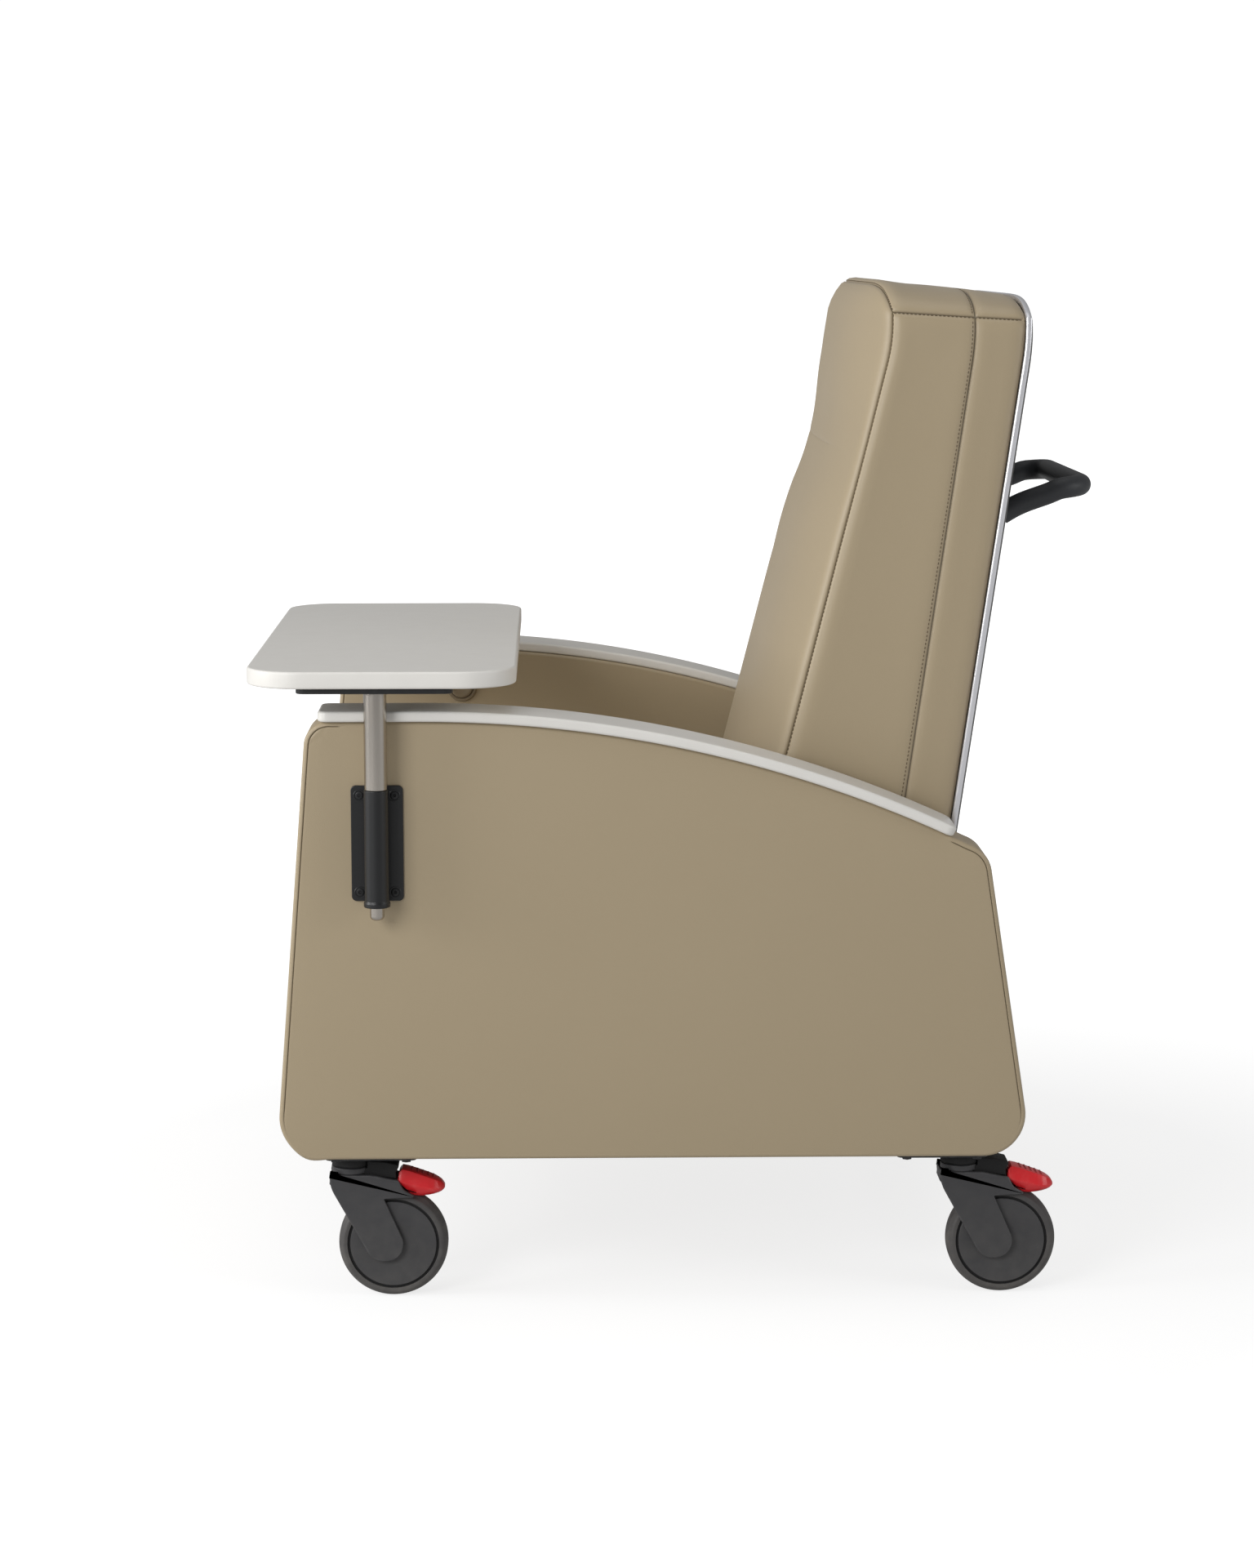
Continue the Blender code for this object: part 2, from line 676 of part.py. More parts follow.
def make_back_frame(shop, pivot):
    """The board behind the cushion, the hinge plates and the cross tube with its lever.

    A relief under the tube's middle leaves room for the gas spring's rod as the back reclines.
    """
    low = (-BOARD_HALF_WIDTH, -BOARD_HALF_HEIGHT)
    outline = rectangle(low, (BOARD_HALF_WIDTH, BOARD_HALF_HEIGHT), 0.02)
    board = sheet("back_board", outline, "XZ", -BOARD_THICKNESS - GAP, -GAP)
    board.data.transform(rear_matrix())
    shop.add(board, shop.board, pivot)

    y, z = BACK_PIVOT.y, BACK_PIVOT.z
    outline = rounded(
        [
            (y - 0.018, z - 0.056, 0.012),
            (y + 0.030, z - 0.056, 0.012),
            (y + 0.120, z + 0.110, 0.014),
            (y + 0.080, z + 0.125, 0.014),
            (y - 0.018, z + 0.018, 0.016),
        ]
    )
    make_hinge(shop, "recline", outline, BACK_PIVOT, pivot)

    reach = HINGE_PLATE_INNER_X - GAP
    low = (-reach, y - 0.010, z - 0.054)
    high = (reach, y + 0.026, BACK_BOTTOM_Z - 0.002)
    cross = box("back_cross_tube", low, high)
    end = spring_lever_end()
    lever = sheet(
        "spring_lever",
        rounded(
            [
                (y - 0.008, z - 0.040, 0.0),
                (end.y - 0.010, end.z - 0.010, 0.008),
                (end.y + 0.010, end.z - 0.010, 0.008),
                (y + 0.024, z - 0.040, 0.0),
            ]
        ),
        "YZ",
        *SPRING_LUG_X,
    )
    combine(cross, shop.cutter(lever, pivot), "UNION")
    low = (-SPRING_RELIEF_HALF_WIDTH, y - 0.012, z - 0.060)
    high = (SPRING_RELIEF_HALF_WIDTH, y + 0.030, SPRING_RELIEF_TOP_Z)
    relief = box("spring_relief", low, high)
    combine(cross, shop.cutter(relief, pivot), "DIFFERENCE")
    shop.add(cross, shop.steel, pivot)


def make_gas_spring(shop):
    """A lockable gas spring under the seat, from the base frame's lug to the back's lever."""
    end = spring_lever_end()
    along = (end - SPRING_BASE).normalized()
    cylinder_pivot = shop.pivot("gas_spring_pivot", SPRING_BASE)
    mouth = SPRING_BASE + along * SPRING_CYLINDER_LENGTH
    cylinder = rod("gas_spring_cylinder", SPRING_BASE, mouth, SPRING_CYLINDER_RADIUS)
    bore = rod(
        "gas_spring_bore",
        SPRING_BASE + along * SPRING_BORE_START,
        mouth + along * 0.01,
        SPRING_ROD_RADIUS + HOLE_PLAY,
    )
    combine(cylinder, shop.cutter(bore, cylinder_pivot), "DIFFERENCE")
    shop.add(cylinder, shop.bracket, cylinder_pivot)
    start = mouth - along * SPRING_ROD_OVERLAP
    shop.add(
        rod("gas_spring_rod", start, end, SPRING_ROD_RADIUS),
        shop.stainless,
        cylinder_pivot,
    )


def make_release(shop):
    """A round push button in its bezel, which unlocks the gas spring."""
    face = PANEL_INNER_X - GAP
    centre = (0.0, RELEASE_Y, RELEASE_Z)
    profile = [
        (RELEASE_RADIUS - 0.002, -face + 0.004),
        (RELEASE_RADIUS, -face + 0.002),
        (RELEASE_RADIUS, -face),
        (BUTTON_RADIUS + HOLE_PLAY, -face),
        (BUTTON_RADIUS + HOLE_PLAY, -face + 0.004),
    ]
    shop.add(turned("release_bezel", profile, "X", centre, closed=True), shop.knob)
    profile = [
        (0.0, -face + 0.0065),
        (BUTTON_RADIUS - 0.0015, -face + 0.006),
        (BUTTON_RADIUS, -face + 0.0045),
        (BUTTON_RADIUS, -face - 0.003),
        (0.0, -face - 0.003),
    ]
    pivot = shop.pivot("release_axis", (-face, RELEASE_Y, RELEASE_Z))
    shop.add(turned("release_button", profile, "X", centre), shop.knob, pivot)


def make_tray_bracket(shop):
    """The bracket plate with its welded sleeve, held by four countersunk screws."""
    back = PANEL_OUTER_X + GAP
    front = back + 0.004
    plate_low, plate_high = (POST_Y - 0.029, 0.469), (POST_Y + 0.029, 0.599)
    bracket = sheet("tray_bracket", rectangle(plate_low, plate_high, 0.005), "YZ", back, front)
    sleeve_profile = [
        (SLEEVE_RADIUS, SLEEVE_TOP_Z),
        (SLEEVE_RADIUS, SLEEVE_BOTTOM_Z + 0.006),
        (SLEEVE_RADIUS + 0.001, SLEEVE_BOTTOM_Z + 0.004),
        (SLEEVE_RADIUS + 0.001, SLEEVE_BOTTOM_Z),
        (0.0, SLEEVE_BOTTOM_Z),
        (0.0, SLEEVE_TOP_Z),
    ]
    sleeve = turned("tray_sleeve", sleeve_profile, "Z", (POST_X, POST_Y, 0.0), closed=True)
    combine(bracket, shop.cutter(sleeve), "UNION")
    web_low = (front - 0.001, POST_Y - 0.0085, plate_low[1] + 0.002)
    web_high = (POST_X, POST_Y + 0.0085, plate_high[1] - 0.004)
    combine(bracket, shop.cutter(box("sleeve_web", web_low, web_high)), "UNION")
    bore = rod(
        "tray_sleeve_bore",
        (POST_X, POST_Y, SLEEVE_BOTTOM_Z - 0.01),
        (POST_X, POST_Y, SLEEVE_TOP_Z + 0.01),
        SPIGOT_RADIUS + HOLE_PLAY,
    )
    combine(bracket, shop.cutter(bore), "DIFFERENCE")
    places = [(POST_Y + dy, z) for z in (0.479, 0.588) for dy in (-0.0195, 0.0195)]
    for number, (y, z) in enumerate(places, 1):
        hole = rod(f"bracket_hole_{number}", (back - 0.01, y, z), (front + 0.01, y, z), 0.0041)
        combine(bracket, shop.cutter(hole), "DIFFERENCE")
        profile = [
            (0.0, front + 0.0002),
            (0.0015, front + 0.0002),
            (0.0015, front + 0.0014),
            (0.0048, front + 0.0012),
            (0.0054, front + 0.0003),
            (0.0037, front + 0.0003),
            (0.0037, back),
            (0.0, back),
        ]
        screw = turned(f"bracket_screw_{number}", profile, "X", (0.0, y, z), sides=12)
        shop.add(screw, shop.bracket)
    shop.add(bracket, shop.bracket)


def make_tray(shop):
    """The tray, its support plate, and the post whose spigot turns in the sleeve."""
    pivot = shop.pivot("tray_pivot", (POST_X, POST_Y, SLEEVE_TOP_Z))
    underside = TRAY_TOP_Z - TRAY_THICKNESS
    low = (TRAY_OUTER_X - TRAY_LENGTH_X, TRAY_FRONT_Y)
    high = (TRAY_OUTER_X, TRAY_FRONT_Y + TRAY_WIDTH_Y)
    outline = rectangle(low, high, TRAY_CORNER_RADIUS)
    top = sheet("tray_top", outline, "XY", underside, TRAY_TOP_Z)
    shop.add(bevel(top, 0.003), shop.surface, pivot)

    plate_top = underside - GAP
    plate_low = plate_top - TRAY_PLATE_THICKNESS
    outline = rectangle((POST_X - 0.100, POST_Y - 0.086), (POST_X + 0.019, POST_Y + 0.086), 0.010)
    shop.add(sheet("tray_plate", outline, "XY", plate_low, plate_top), shop.bracket, pivot)

    post_top = plate_low - GAP
    profile = [
        (0.0, post_top),
        (POST_RADIUS, post_top),
        (POST_RADIUS, SLEEVE_TOP_Z + GAP),
        (SPIGOT_RADIUS, SLEEVE_TOP_Z + GAP),
        (SPIGOT_RADIUS, SPIGOT_END_Z + 0.004),
        (SPIGOT_RADIUS - 0.0035, SPIGOT_END_Z),
        (0.0, SPIGOT_END_Z),
    ]
    shop.add(turned("tray_post", profile, "Z", (POST_X, POST_Y, 0.0)), shop.stainless, pivot)


def axle_height():
    """Height of a wheel's centre when one flat side of its tyre lies on the floor."""
    return WHEEL_RADIUS * cos(pi / WHEEL_SIDES)


def make_plate_mesh(shop, direction):
    """Top plate with bolt heads and kingpin; direction is the side it reaches towards."""
    low_z = CASTER_PLATE_TOP_Z - CASTER_PLATE_THICKNESS
    near, far = sorted((-0.0275 * direction, 0.076 * direction))
    outline = rectangle((-0.041, near), (0.041, far), 0.006)
    plate = sheet("caster_plate_pattern", outline, "XY", low_z, CASTER_PLATE_TOP_Z)
    for x in (-0.030, 0.030):
        for y in (-0.016 * direction, 0.064 * direction):
            head = rod("caster_bolt", (x, y, low_z - 0.0032), (x, y, low_z + 0.002), 0.0055, 6)
            combine(plate, shop.cutter(head), "UNION")
    kingpin = rod("kingpin", (0.0, 0.0, 0.140), (0.0, 0.0, low_z + 0.002), KINGPIN_RADIUS, 12)
    combine(plate, shop.cutter(kingpin), "UNION")
    return plate


def make_fork(shop):
    """Two cheeks, a hood over the wheel and the swivel head, from one outline."""
    height = axle_height()
    pivot = (PEDAL_PIVOT_Y, PEDAL_PIVOT_Z)
    nest = arc(pivot, PEDAL_ROOT_RADIUS + 0.0008, radians(232), radians(118))
    outline = [
        *rounded(
            [
                (-0.0255, 0.1510, 0.0),
                (-0.0255, 0.1340, 0.040),
                (0.0245, height - 0.0175, 0.020),
                (0.0700, height - 0.0175, 0.020),
                (0.0375, 0.1165, 0.002),
                (0.0790, 0.1205, 0.002),
            ]
        ),
        (0.0640, 0.1262),
        *nest,
        (0.0180, 0.1575),
        (0.0180, 0.1510),
    ]
    fork = sheet("fork_pattern", outline, "YZ", -FORK_HALF_WIDTH, FORK_HALF_WIDTH)
    bevel(fork, 0.0022, 1, 55)
    head_top = CASTER_PLATE_TOP_Z - CASTER_PLATE_THICKNESS - GAP
    head = rod("swivel_head", (0.0, 0.0, 0.140), (0.0, 0.0, head_top), 0.024, 20)
    combine(fork, shop.cutter(head), "UNION")
    centre = (CASTER_TRAIL, height)
    cuts = (
        ("wheel_well", 0.0172, centre, WHEEL_RADIUS + 0.003, 28),
        ("axle_hole", 0.0214, centre, AXLE_RADIUS + HOLE_PLAY, 12),
        ("pedal_pin_hole", 0.0214, pivot, 0.0029, 12),
    )
    for name, reach, (y, z), radius, sides in cuts:
        tool = rod(name, (-reach, y, z), (reach, y, z), radius, sides)
        combine(fork, shop.cutter(tool), "DIFFERENCE")
    slot_low = (-0.0085, PEDAL_PIVOT_Y - 0.0105, 0.118)
    slot_high = (0.0085, PEDAL_PIVOT_Y + 0.04, 0.170)
    combine(fork, shop.cutter(box("pedal_slot", slot_low, slot_high)), "DIFFERENCE")
    radius = KINGPIN_RADIUS + HOLE_PLAY
    socket = rod("kingpin_socket", (0.0, 0.0, 0.138), (0.0, 0.0, 0.18), radius, 12)
    combine(fork, shop.cutter(socket), "DIFFERENCE")
    return fork


def make_pedal(shop):
    """A duck-billed foot pedal on a cross pin between the fork's cheeks."""
    pivot = (PEDAL_PIVOT_Y, PEDAL_PIVOT_Z)
    outline = [
        *arc(pivot, PEDAL_ROOT_RADIUS, radians(90), radians(225)),
        *rounded(
            [
                (0.0650, 0.1272, 0.004),
                (0.0830, 0.1180, 0.014),
                (0.1080, 0.1250, 0.009),
                (0.1040, 0.1395, 0.006),
            ]
        ),
    ]
    pedal = sheet("pedal_pattern", outline, "YZ", -0.018, 0.018)
    bevel(pedal, 0.003, 1, 55)
    cheeks = (
        ("pedal_relief_left", (0.0075, 0.040, 0.110), (0.030, PEDAL_PIVOT_Y + 0.0005, 0.170)),
        ("pedal_relief_right", (-0.030, 0.040, 0.110), (-0.0075, PEDAL_PIVOT_Y + 0.0005, 0.170)),
    )
    for name, low, high in cheeks:
        combine(pedal, shop.cutter(box(name, low, high)), "DIFFERENCE")
    pin = rod("pedal_pin", (-0.0205, *pivot), (0.0205, *pivot), 0.0025, 12)
    combine(pedal, shop.cutter(pin), "UNION")
    return pedal


def make_wheel(shop):
    """The tyre, the hub disc and the axle."""
    centre = (0.0, CASTER_TRAIL, axle_height())
    half = TYRE_HALF_WIDTH
    first = pi / WHEEL_SIDES
    profile = [
        (TYRE_INNER_RADIUS, half),
        (WHEEL_RADIUS - 0.004, half),
        (WHEEL_RADIUS, half - 0.005),
        (WHEEL_RADIUS, -half + 0.005),
        (WHEEL_RADIUS - 0.004, -half),
        (TYRE_INNER_RADIUS, -half),
    ]
    tyre = turned("tyre_pattern", profile, "X", centre, True, WHEEL_SIDES, first)
    rim = TYRE_INNER_RADIUS - GAP
    bore = AXLE_RADIUS + HOLE_PLAY
    profile = [(bore, half), (rim, half), (rim, -half), (bore, -half)]
    hub = turned("hub_pattern", profile, "X", centre, True, WHEEL_SIDES, first)
    axle = rod(
        "axle_pattern",
        (-0.021, CASTER_TRAIL, axle_height()),
        (0.021, CASTER_TRAIL, axle_height()),
        AXLE_RADIUS,
        12,
    )
    return {"tyre": tyre, "wheel_hub": hub, "axle": axle}


def make_casters(shop):
    """Four casters that share their patterns' meshes; the plates reach towards the middle."""
    patterns = {"fork": make_fork(shop), "brake_pedal": make_pedal(shop), **make_wheel(shop)}
    patterns["plate_front"] = make_plate_mesh(shop, 1)
    patterns["plate_rear"] = make_plate_mesh(shop, -1)
    meshes = {}
    for name, obj in patterns.items():
        shop.cutter(obj)
        meshes[name] = frozen(obj)
        meshes[name].transform(obj.matrix_basis)
    finish = {
        "fork": shop.plastic,
        "brake_pedal": shop.pedal,
        "tyre": shop.tyre,
        "wheel_hub": shop.plastic,
        "axle": shop.stainless,
    }
    for end, y in (("front", CASTER_FRONT_Y), ("rear", CASTER_REAR_Y)):
        for side, sign in SIDES:
            corner = f"{end}_{side}"
            swivel = shop.pivot(f"{corner}_swivel", (sign * CASTER_X, y, 0.0))
            add_copy(shop, f"{corner}_caster_plate", meshes[f"plate_{end}"], shop.steel, swivel)
            for part, material in finish.items():
                add_copy(shop, f"{corner}_{part}", meshes[part], material, swivel)
    for obj in patterns.values():
        bpy.data.objects.remove(obj)


def add_copy(shop, name, mesh, material, swivel):
    """Adds an object that shares a caster piece's mesh, at one caster's swivel axis."""
    obj = bpy.data.objects.new(name, mesh)
    shop.chair.objects.link(obj)
    if not mesh.materials:
        mesh.materials.append(material)
        shade_round(obj)
    obj.parent = swivel
    return obj


def main():
    """Builds the chair."""
    clear_scene()
    shop = Workshop()
    make_side_panels(shop)
    make_armrests(shop)
    make_base_frame(shop)
    make_seat(shop)
    make_legrest(shop)
    back_pivot = shop.pivot("back_pivot", BACK_PIVOT)
    make_back_cushion(shop, back_pivot)
    make_back_shell(shop, back_pivot)
    make_handle(shop, back_pivot)
    make_back_frame(shop, back_pivot)
    make_gas_spring(shop)
    make_release(shop)
    make_tray_bracket(shop)
    make_tray(shop)
    make_casters(shop)


main()
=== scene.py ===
"""Looks of a patient recliner chair: upholstery, solid-surface arms and tray, and its casters.

Metres, +Z up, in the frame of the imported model. The chair faces -Y and the sitter's left is +X.
Shapes are drawn in the chair's datum, whose X = 0 is the chair's middle plane, and are moved
from there into the frame by DATUM, which is read from the recline joint.
"""

import json
import logging
from dataclasses import dataclass, field
from enum import Enum
from math import atan2, cos, pi, radians, sin, tan
from typing import Callable, Iterable, Sequence

import bmesh
import bpy
import numpy as np
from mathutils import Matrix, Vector

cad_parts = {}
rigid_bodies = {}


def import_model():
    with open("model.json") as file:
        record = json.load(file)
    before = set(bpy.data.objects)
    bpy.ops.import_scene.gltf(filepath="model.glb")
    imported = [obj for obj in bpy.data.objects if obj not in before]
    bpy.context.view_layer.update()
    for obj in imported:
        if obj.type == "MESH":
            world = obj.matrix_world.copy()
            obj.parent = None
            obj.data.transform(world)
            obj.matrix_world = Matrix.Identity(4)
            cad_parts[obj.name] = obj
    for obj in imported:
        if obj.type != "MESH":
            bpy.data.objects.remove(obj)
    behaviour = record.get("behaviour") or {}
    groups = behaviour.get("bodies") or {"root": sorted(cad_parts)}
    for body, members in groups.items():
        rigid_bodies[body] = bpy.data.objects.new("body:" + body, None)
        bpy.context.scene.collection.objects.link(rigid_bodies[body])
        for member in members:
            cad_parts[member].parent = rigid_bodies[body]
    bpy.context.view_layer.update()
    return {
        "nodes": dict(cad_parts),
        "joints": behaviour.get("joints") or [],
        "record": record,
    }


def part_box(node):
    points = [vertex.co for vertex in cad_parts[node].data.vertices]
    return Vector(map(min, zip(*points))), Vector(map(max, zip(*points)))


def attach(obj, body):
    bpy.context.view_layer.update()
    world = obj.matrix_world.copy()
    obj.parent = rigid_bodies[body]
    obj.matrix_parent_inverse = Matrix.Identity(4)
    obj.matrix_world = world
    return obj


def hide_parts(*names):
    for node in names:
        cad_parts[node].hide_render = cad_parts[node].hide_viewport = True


Array = np.ndarray
Pair = tuple[float, float]
Triple = tuple[float, float, float]
LOG = logging.getLogger("recliner")

for leftover in list(bpy.data.objects):
    bpy.data.objects.remove(leftover)
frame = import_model()
JOINTS = {joint["name"]: joint for joint in frame["joints"]}
RECLINE_PIVOT = np.array((0.0, 0.115, 0.440))
DATUM = np.array(JOINTS["back_recline"]["pos_m"]) - RECLINE_PIVOT
SIDES = (("left", 1.0), ("right", -1.0))
CORNERS = ("front_left", "front_right", "rear_left", "rear_right")
MM = 0.001


# ---------------------------------------------------------------- shapes


@dataclass
class Shape:
    """Points, faces and named masks (0 to 1 at each point) of one or more closed surfaces."""

    points: Array
    faces: list[tuple[int, ...]]
    masks: dict[str, Array] = field(default_factory=dict)

    def mask(self, name: str) -> Array:
        """Returns a mask, or zeros where the shape has none of that name."""
        return self.masks.get(name, np.zeros(len(self.points)))

    def moved(self, offset: Iterable[float]) -> "Shape":
        """Returns the shape shifted by an offset."""
        return Shape(self.points + np.array(tuple(offset)), self.faces, self.masks)

    def mirrored(self) -> "Shape":
        """Returns the shape reflected in the chair's middle plane; its normals are redone later."""
        return Shape(self.points * (-1.0, 1.0, 1.0), self.faces, self.masks)


def joined(shapes: Sequence[Shape]) -> Shape:
    """Puts several closed surfaces in one shape.

    Args:
        shapes: The surfaces.

    Returns:
        One shape that holds them all.
    """
    faces: list[tuple[int, ...]] = []
    start = 0
    for shape in shapes:
        faces += [tuple(i + start for i in face) for face in shape.faces]
        start += len(shape.points)
    names = {name for shape in shapes for name in shape.masks}
    masks = {name: np.concatenate([shape.mask(name) for shape in shapes]) for name in names}
    return Shape(np.concatenate([shape.points for shape in shapes]), faces, masks)


def grid_faces(rows: int, columns: int, close_rows: bool = False, close_columns: bool = False) -> Array:
    """Quads of a grid of rows by columns points, numbered row by row.

    Args:
        rows: Number of rows.
        columns: Points in each row.
        close_rows: Whether the last row joins the first.
        close_columns: Whether each row's last point joins its first.

    Returns:
        An array of four point numbers a face.
    """
    i, j = np.meshgrid(
        np.arange(rows if close_rows else rows - 1),
        np.arange(columns if close_columns else columns - 1),
        indexing="ij",
    )
    down, along = (i + 1) % rows, (j + 1) % columns
    quads = (i * columns + j, i * columns + along, down * columns + along, down * columns + j)
    return np.stack(quads, axis=-1).reshape(-1, 4)


def arc_points(centre: Pair, radius: float, start: float, end: float, step: float = radians(6)) -> list[Pair]:
    """Points on an arc, both ends included: centre + radius (cos, sin) of an even run of angles."""
    count = max(2, round(abs(end - start) / step) + 1)
    angles = np.linspace(start, end, count)
    return [(centre[0] + radius * cos(a), centre[1] + radius * sin(a)) for a in angles]


def rounded_path(corners: Sequence[Triple], closed: bool = True) -> list[Pair]:
    """Replaces each corner of a polygon by the arc that touches both of its sides.

    Args:
        corners: (a, b, radius) of each corner; a radius of 0 keeps the corner.
        closed: Whether the last corner joins the first.

    Returns:
        The path's points.
    """
    path: list[Pair] = []
    last = len(corners) - 1
    for i, (a, b, radius) in enumerate(corners):
        if radius == 0.0 or (not closed and i in (0, last)):
            path.append((a, b))
            continue
        here = Vector((a, b))
        back = (Vector(corners[i - 1][:2]) - here).normalized()
        ahead = (Vector(corners[(i + 1) % len(corners)][:2]) - here).normalized()
        half = back.angle(ahead) / 2
        centre = here + (back + ahead).normalized() * (radius / sin(half))
        reach = radius / tan(half)
        first, final = here + back * reach - centre, here + ahead * reach - centre
        start = atan2(first.y, first.x)
        turn = (atan2(final.y, final.x) - start + pi) % (2 * pi) - pi
        path += arc_points((centre.x, centre.y), radius, start, start + turn)
    return path


def rounded_rectangle(low: Pair, high: Pair, radius: float) -> list[Pair]:
    """A rectangle between two corners, with all four of its corners rounded."""
    corners = ((low[0], low[1]), (high[0], low[1]), (high[0], high[1]), (low[0], high[1]))
    return rounded_path([(a, b, radius) for a, b in corners])


def spaced(path: Sequence[Pair], spacing: float) -> Array:
    """Adds points along a closed path's long sides, and turns it anticlockwise.

    Args:
        path: The path's points.
        spacing: Longest distance wanted between neighbours.

    Returns:
        The path as an array of points, with its own points kept.
    """
    points = np.array(path, float)
    keep = np.linalg.norm(points - np.roll(points, 1, axis=0), axis=1) > 1e-7
    points = points[keep]
    after = np.roll(points, -1, axis=0)
    area = np.sum(points[:, 0] * after[:, 1] - after[:, 0] * points[:, 1])
    if area < 0:
        points = points[::-1]
        after = np.roll(points, -1, axis=0)
    counts = np.maximum(1, np.ceil(np.linalg.norm(after - points, axis=1) / spacing)).astype(int)
    runs = [p + (q - p) * (np.arange(n) / n)[:, None] for p, q, n in zip(points, after, counts)]
    return np.concatenate(runs)


def inset(outline: Array, distance: float) -> Array:
    """Moves each point of an anticlockwise outline inwards, square to its two sides' mean run."""
    along = outline - np.roll(outline, 1, axis=0)
    along = along / np.linalg.norm(along, axis=1, keepdims=True)
    ahead = np.roll(along, -1, axis=0)
    mean = along + ahead
    mean /= np.linalg.norm(mean, axis=1, keepdims=True)
    square = np.stack((-mean[:, 1], mean[:, 0]), axis=1)
    return outline + square * distance


class Plane(Enum):
    """How a sketch's two axes and its thickness lie in the chair."""

    YZ = ((0, 1, 0), (0, 0, 1), (1, 0, 0))
    XY = ((1, 0, 0), (0, 1, 0), (0, 0, 1))


@dataclass
class Plate:
    """An outline given thickness, with filleted rims.

    Its surface is a run of rings: each face's rings are the outline scaled towards its middle, and
    the rim's rings are the outline moved inwards by fillet (1 - sin t) as they rise by fillet cos t.
    relief(points, distance) may raise both faces by a height that depends on the place and on the
    distance inside the rim, and rings gives the distances, past the fillet, that it needs.
    """

    outline: Sequence[Pair]
    low: float
    high: float
    fillet: float
    plane: Plane = Plane.YZ
    spacing: float = 0.006
    rings: Sequence[float] = ()
    fill_rings: int = 10
    flat_fill: bool = False
    fillet_steps: int = 5
    relief: Callable[[Array, float], Array] | None = None

    def face_rings(self, outline: Array) -> list[tuple[Array, float]]:
        """Rings of one face, from its fillet to its middle, each with its distance inside."""
        support = self.fillet + 0.15 * MM
        rings = [(inset(outline, d), d) for d in (support, *self.rings)]
        if self.flat_fill:
            return rings
        inner, depth = rings[-1]
        middle = inner.mean(axis=0)
        reach = float(np.linalg.norm(inner - middle, axis=1).min())
        for share in np.linspace(1.0, 0.0, self.fill_rings + 1)[1:]:
            rings.append((middle + (inner - middle) * share, depth + reach * (1.0 - share)))
        return rings

    def shape(self) -> Shape:
        """Returns the closed surface, with its rim in the mask "edge"."""
        outline = spaced(self.outline, self.spacing)
        count = len(outline)
        turns = np.linspace(0.0, pi / 2, self.fillet_steps + 1)
        rim = [(inset(outline, self.fillet * (1 - sin(t))), self.fillet * (1 - cos(t))) for t in turns]
        face = self.face_rings(outline)
        layers: list[tuple[Array, Array, float]] = []
        for ring, depth in reversed(face):
            lift = self.relief(ring, depth) if self.relief else np.zeros(count)
            layers.append((ring, self.high + lift, 0.0))
        layers += [(ring, np.full(count, self.high - drop), 1.0) for ring, drop in rim]
        layers += [(ring, np.full(count, self.low + drop), 1.0) for ring, drop in reversed(rim)]
        for ring, depth in face:
            lift = self.relief(ring, depth) if self.relief else np.zeros(count)
            layers.append((ring, self.low - lift, 0.0))
        first, second, normal = (np.array(axis, float) for axis in self.plane.value)
        flat = np.concatenate([ring for ring, _, _ in layers])
        height = np.concatenate([level for _, level, _ in layers])
        edge = np.concatenate([np.full(count, mark) for _, _, mark in layers])
        points = flat[:, :1] * first + flat[:, 1:] * second + height[:, None] * normal
        faces = [tuple(quad) for quad in grid_faces(len(layers), count, close_columns=True).tolist()]
        if self.flat_fill:
            faces.append(tuple(range(count)))
            faces.append(tuple(range((len(layers) - 1) * count, len(layers) * count)))
        return Shape(points, faces, {"edge": edge})


def lathe(profile: Sequence[Pair], centre: Iterable[float], axis: str = "Z", sides: int = 64) -> Shape:
    """Turns a profile of (radius, height) about an axis: (r cos t, r sin t, h) for a full turn of t.

    Args:
        profile: The outline, closed unless it starts and ends on the axis.
        centre: Where the axis's zero height lies.
        axis: "X", "Y" or "Z", the way that height runs.
        sides: Number of steps in the turn.

    Returns:
        The closed surface.
    """
    radius, height = np.array(profile, float).T
    on_axis = radius[0] < 1e-9 and radius[-1] < 1e-9
    turn = np.linspace(0.0, 2 * pi, sides, endpoint=False)
    across = radius[:, None] * np.cos(turn)
    up = radius[:, None] * np.sin(turn)
    along = np.broadcast_to(height[:, None], across.shape)
    order = {"Z": (across, up, along), "X": (along, across, up), "Y": (up, along, across)}[axis]
    points = np.stack(order, axis=-1).reshape(-1, 3) + np.array(tuple(centre))
    faces = grid_faces(len(radius), sides, close_rows=not on_axis, close_columns=True)
    return Shape(points, [tuple(quad) for quad in faces.tolist()])


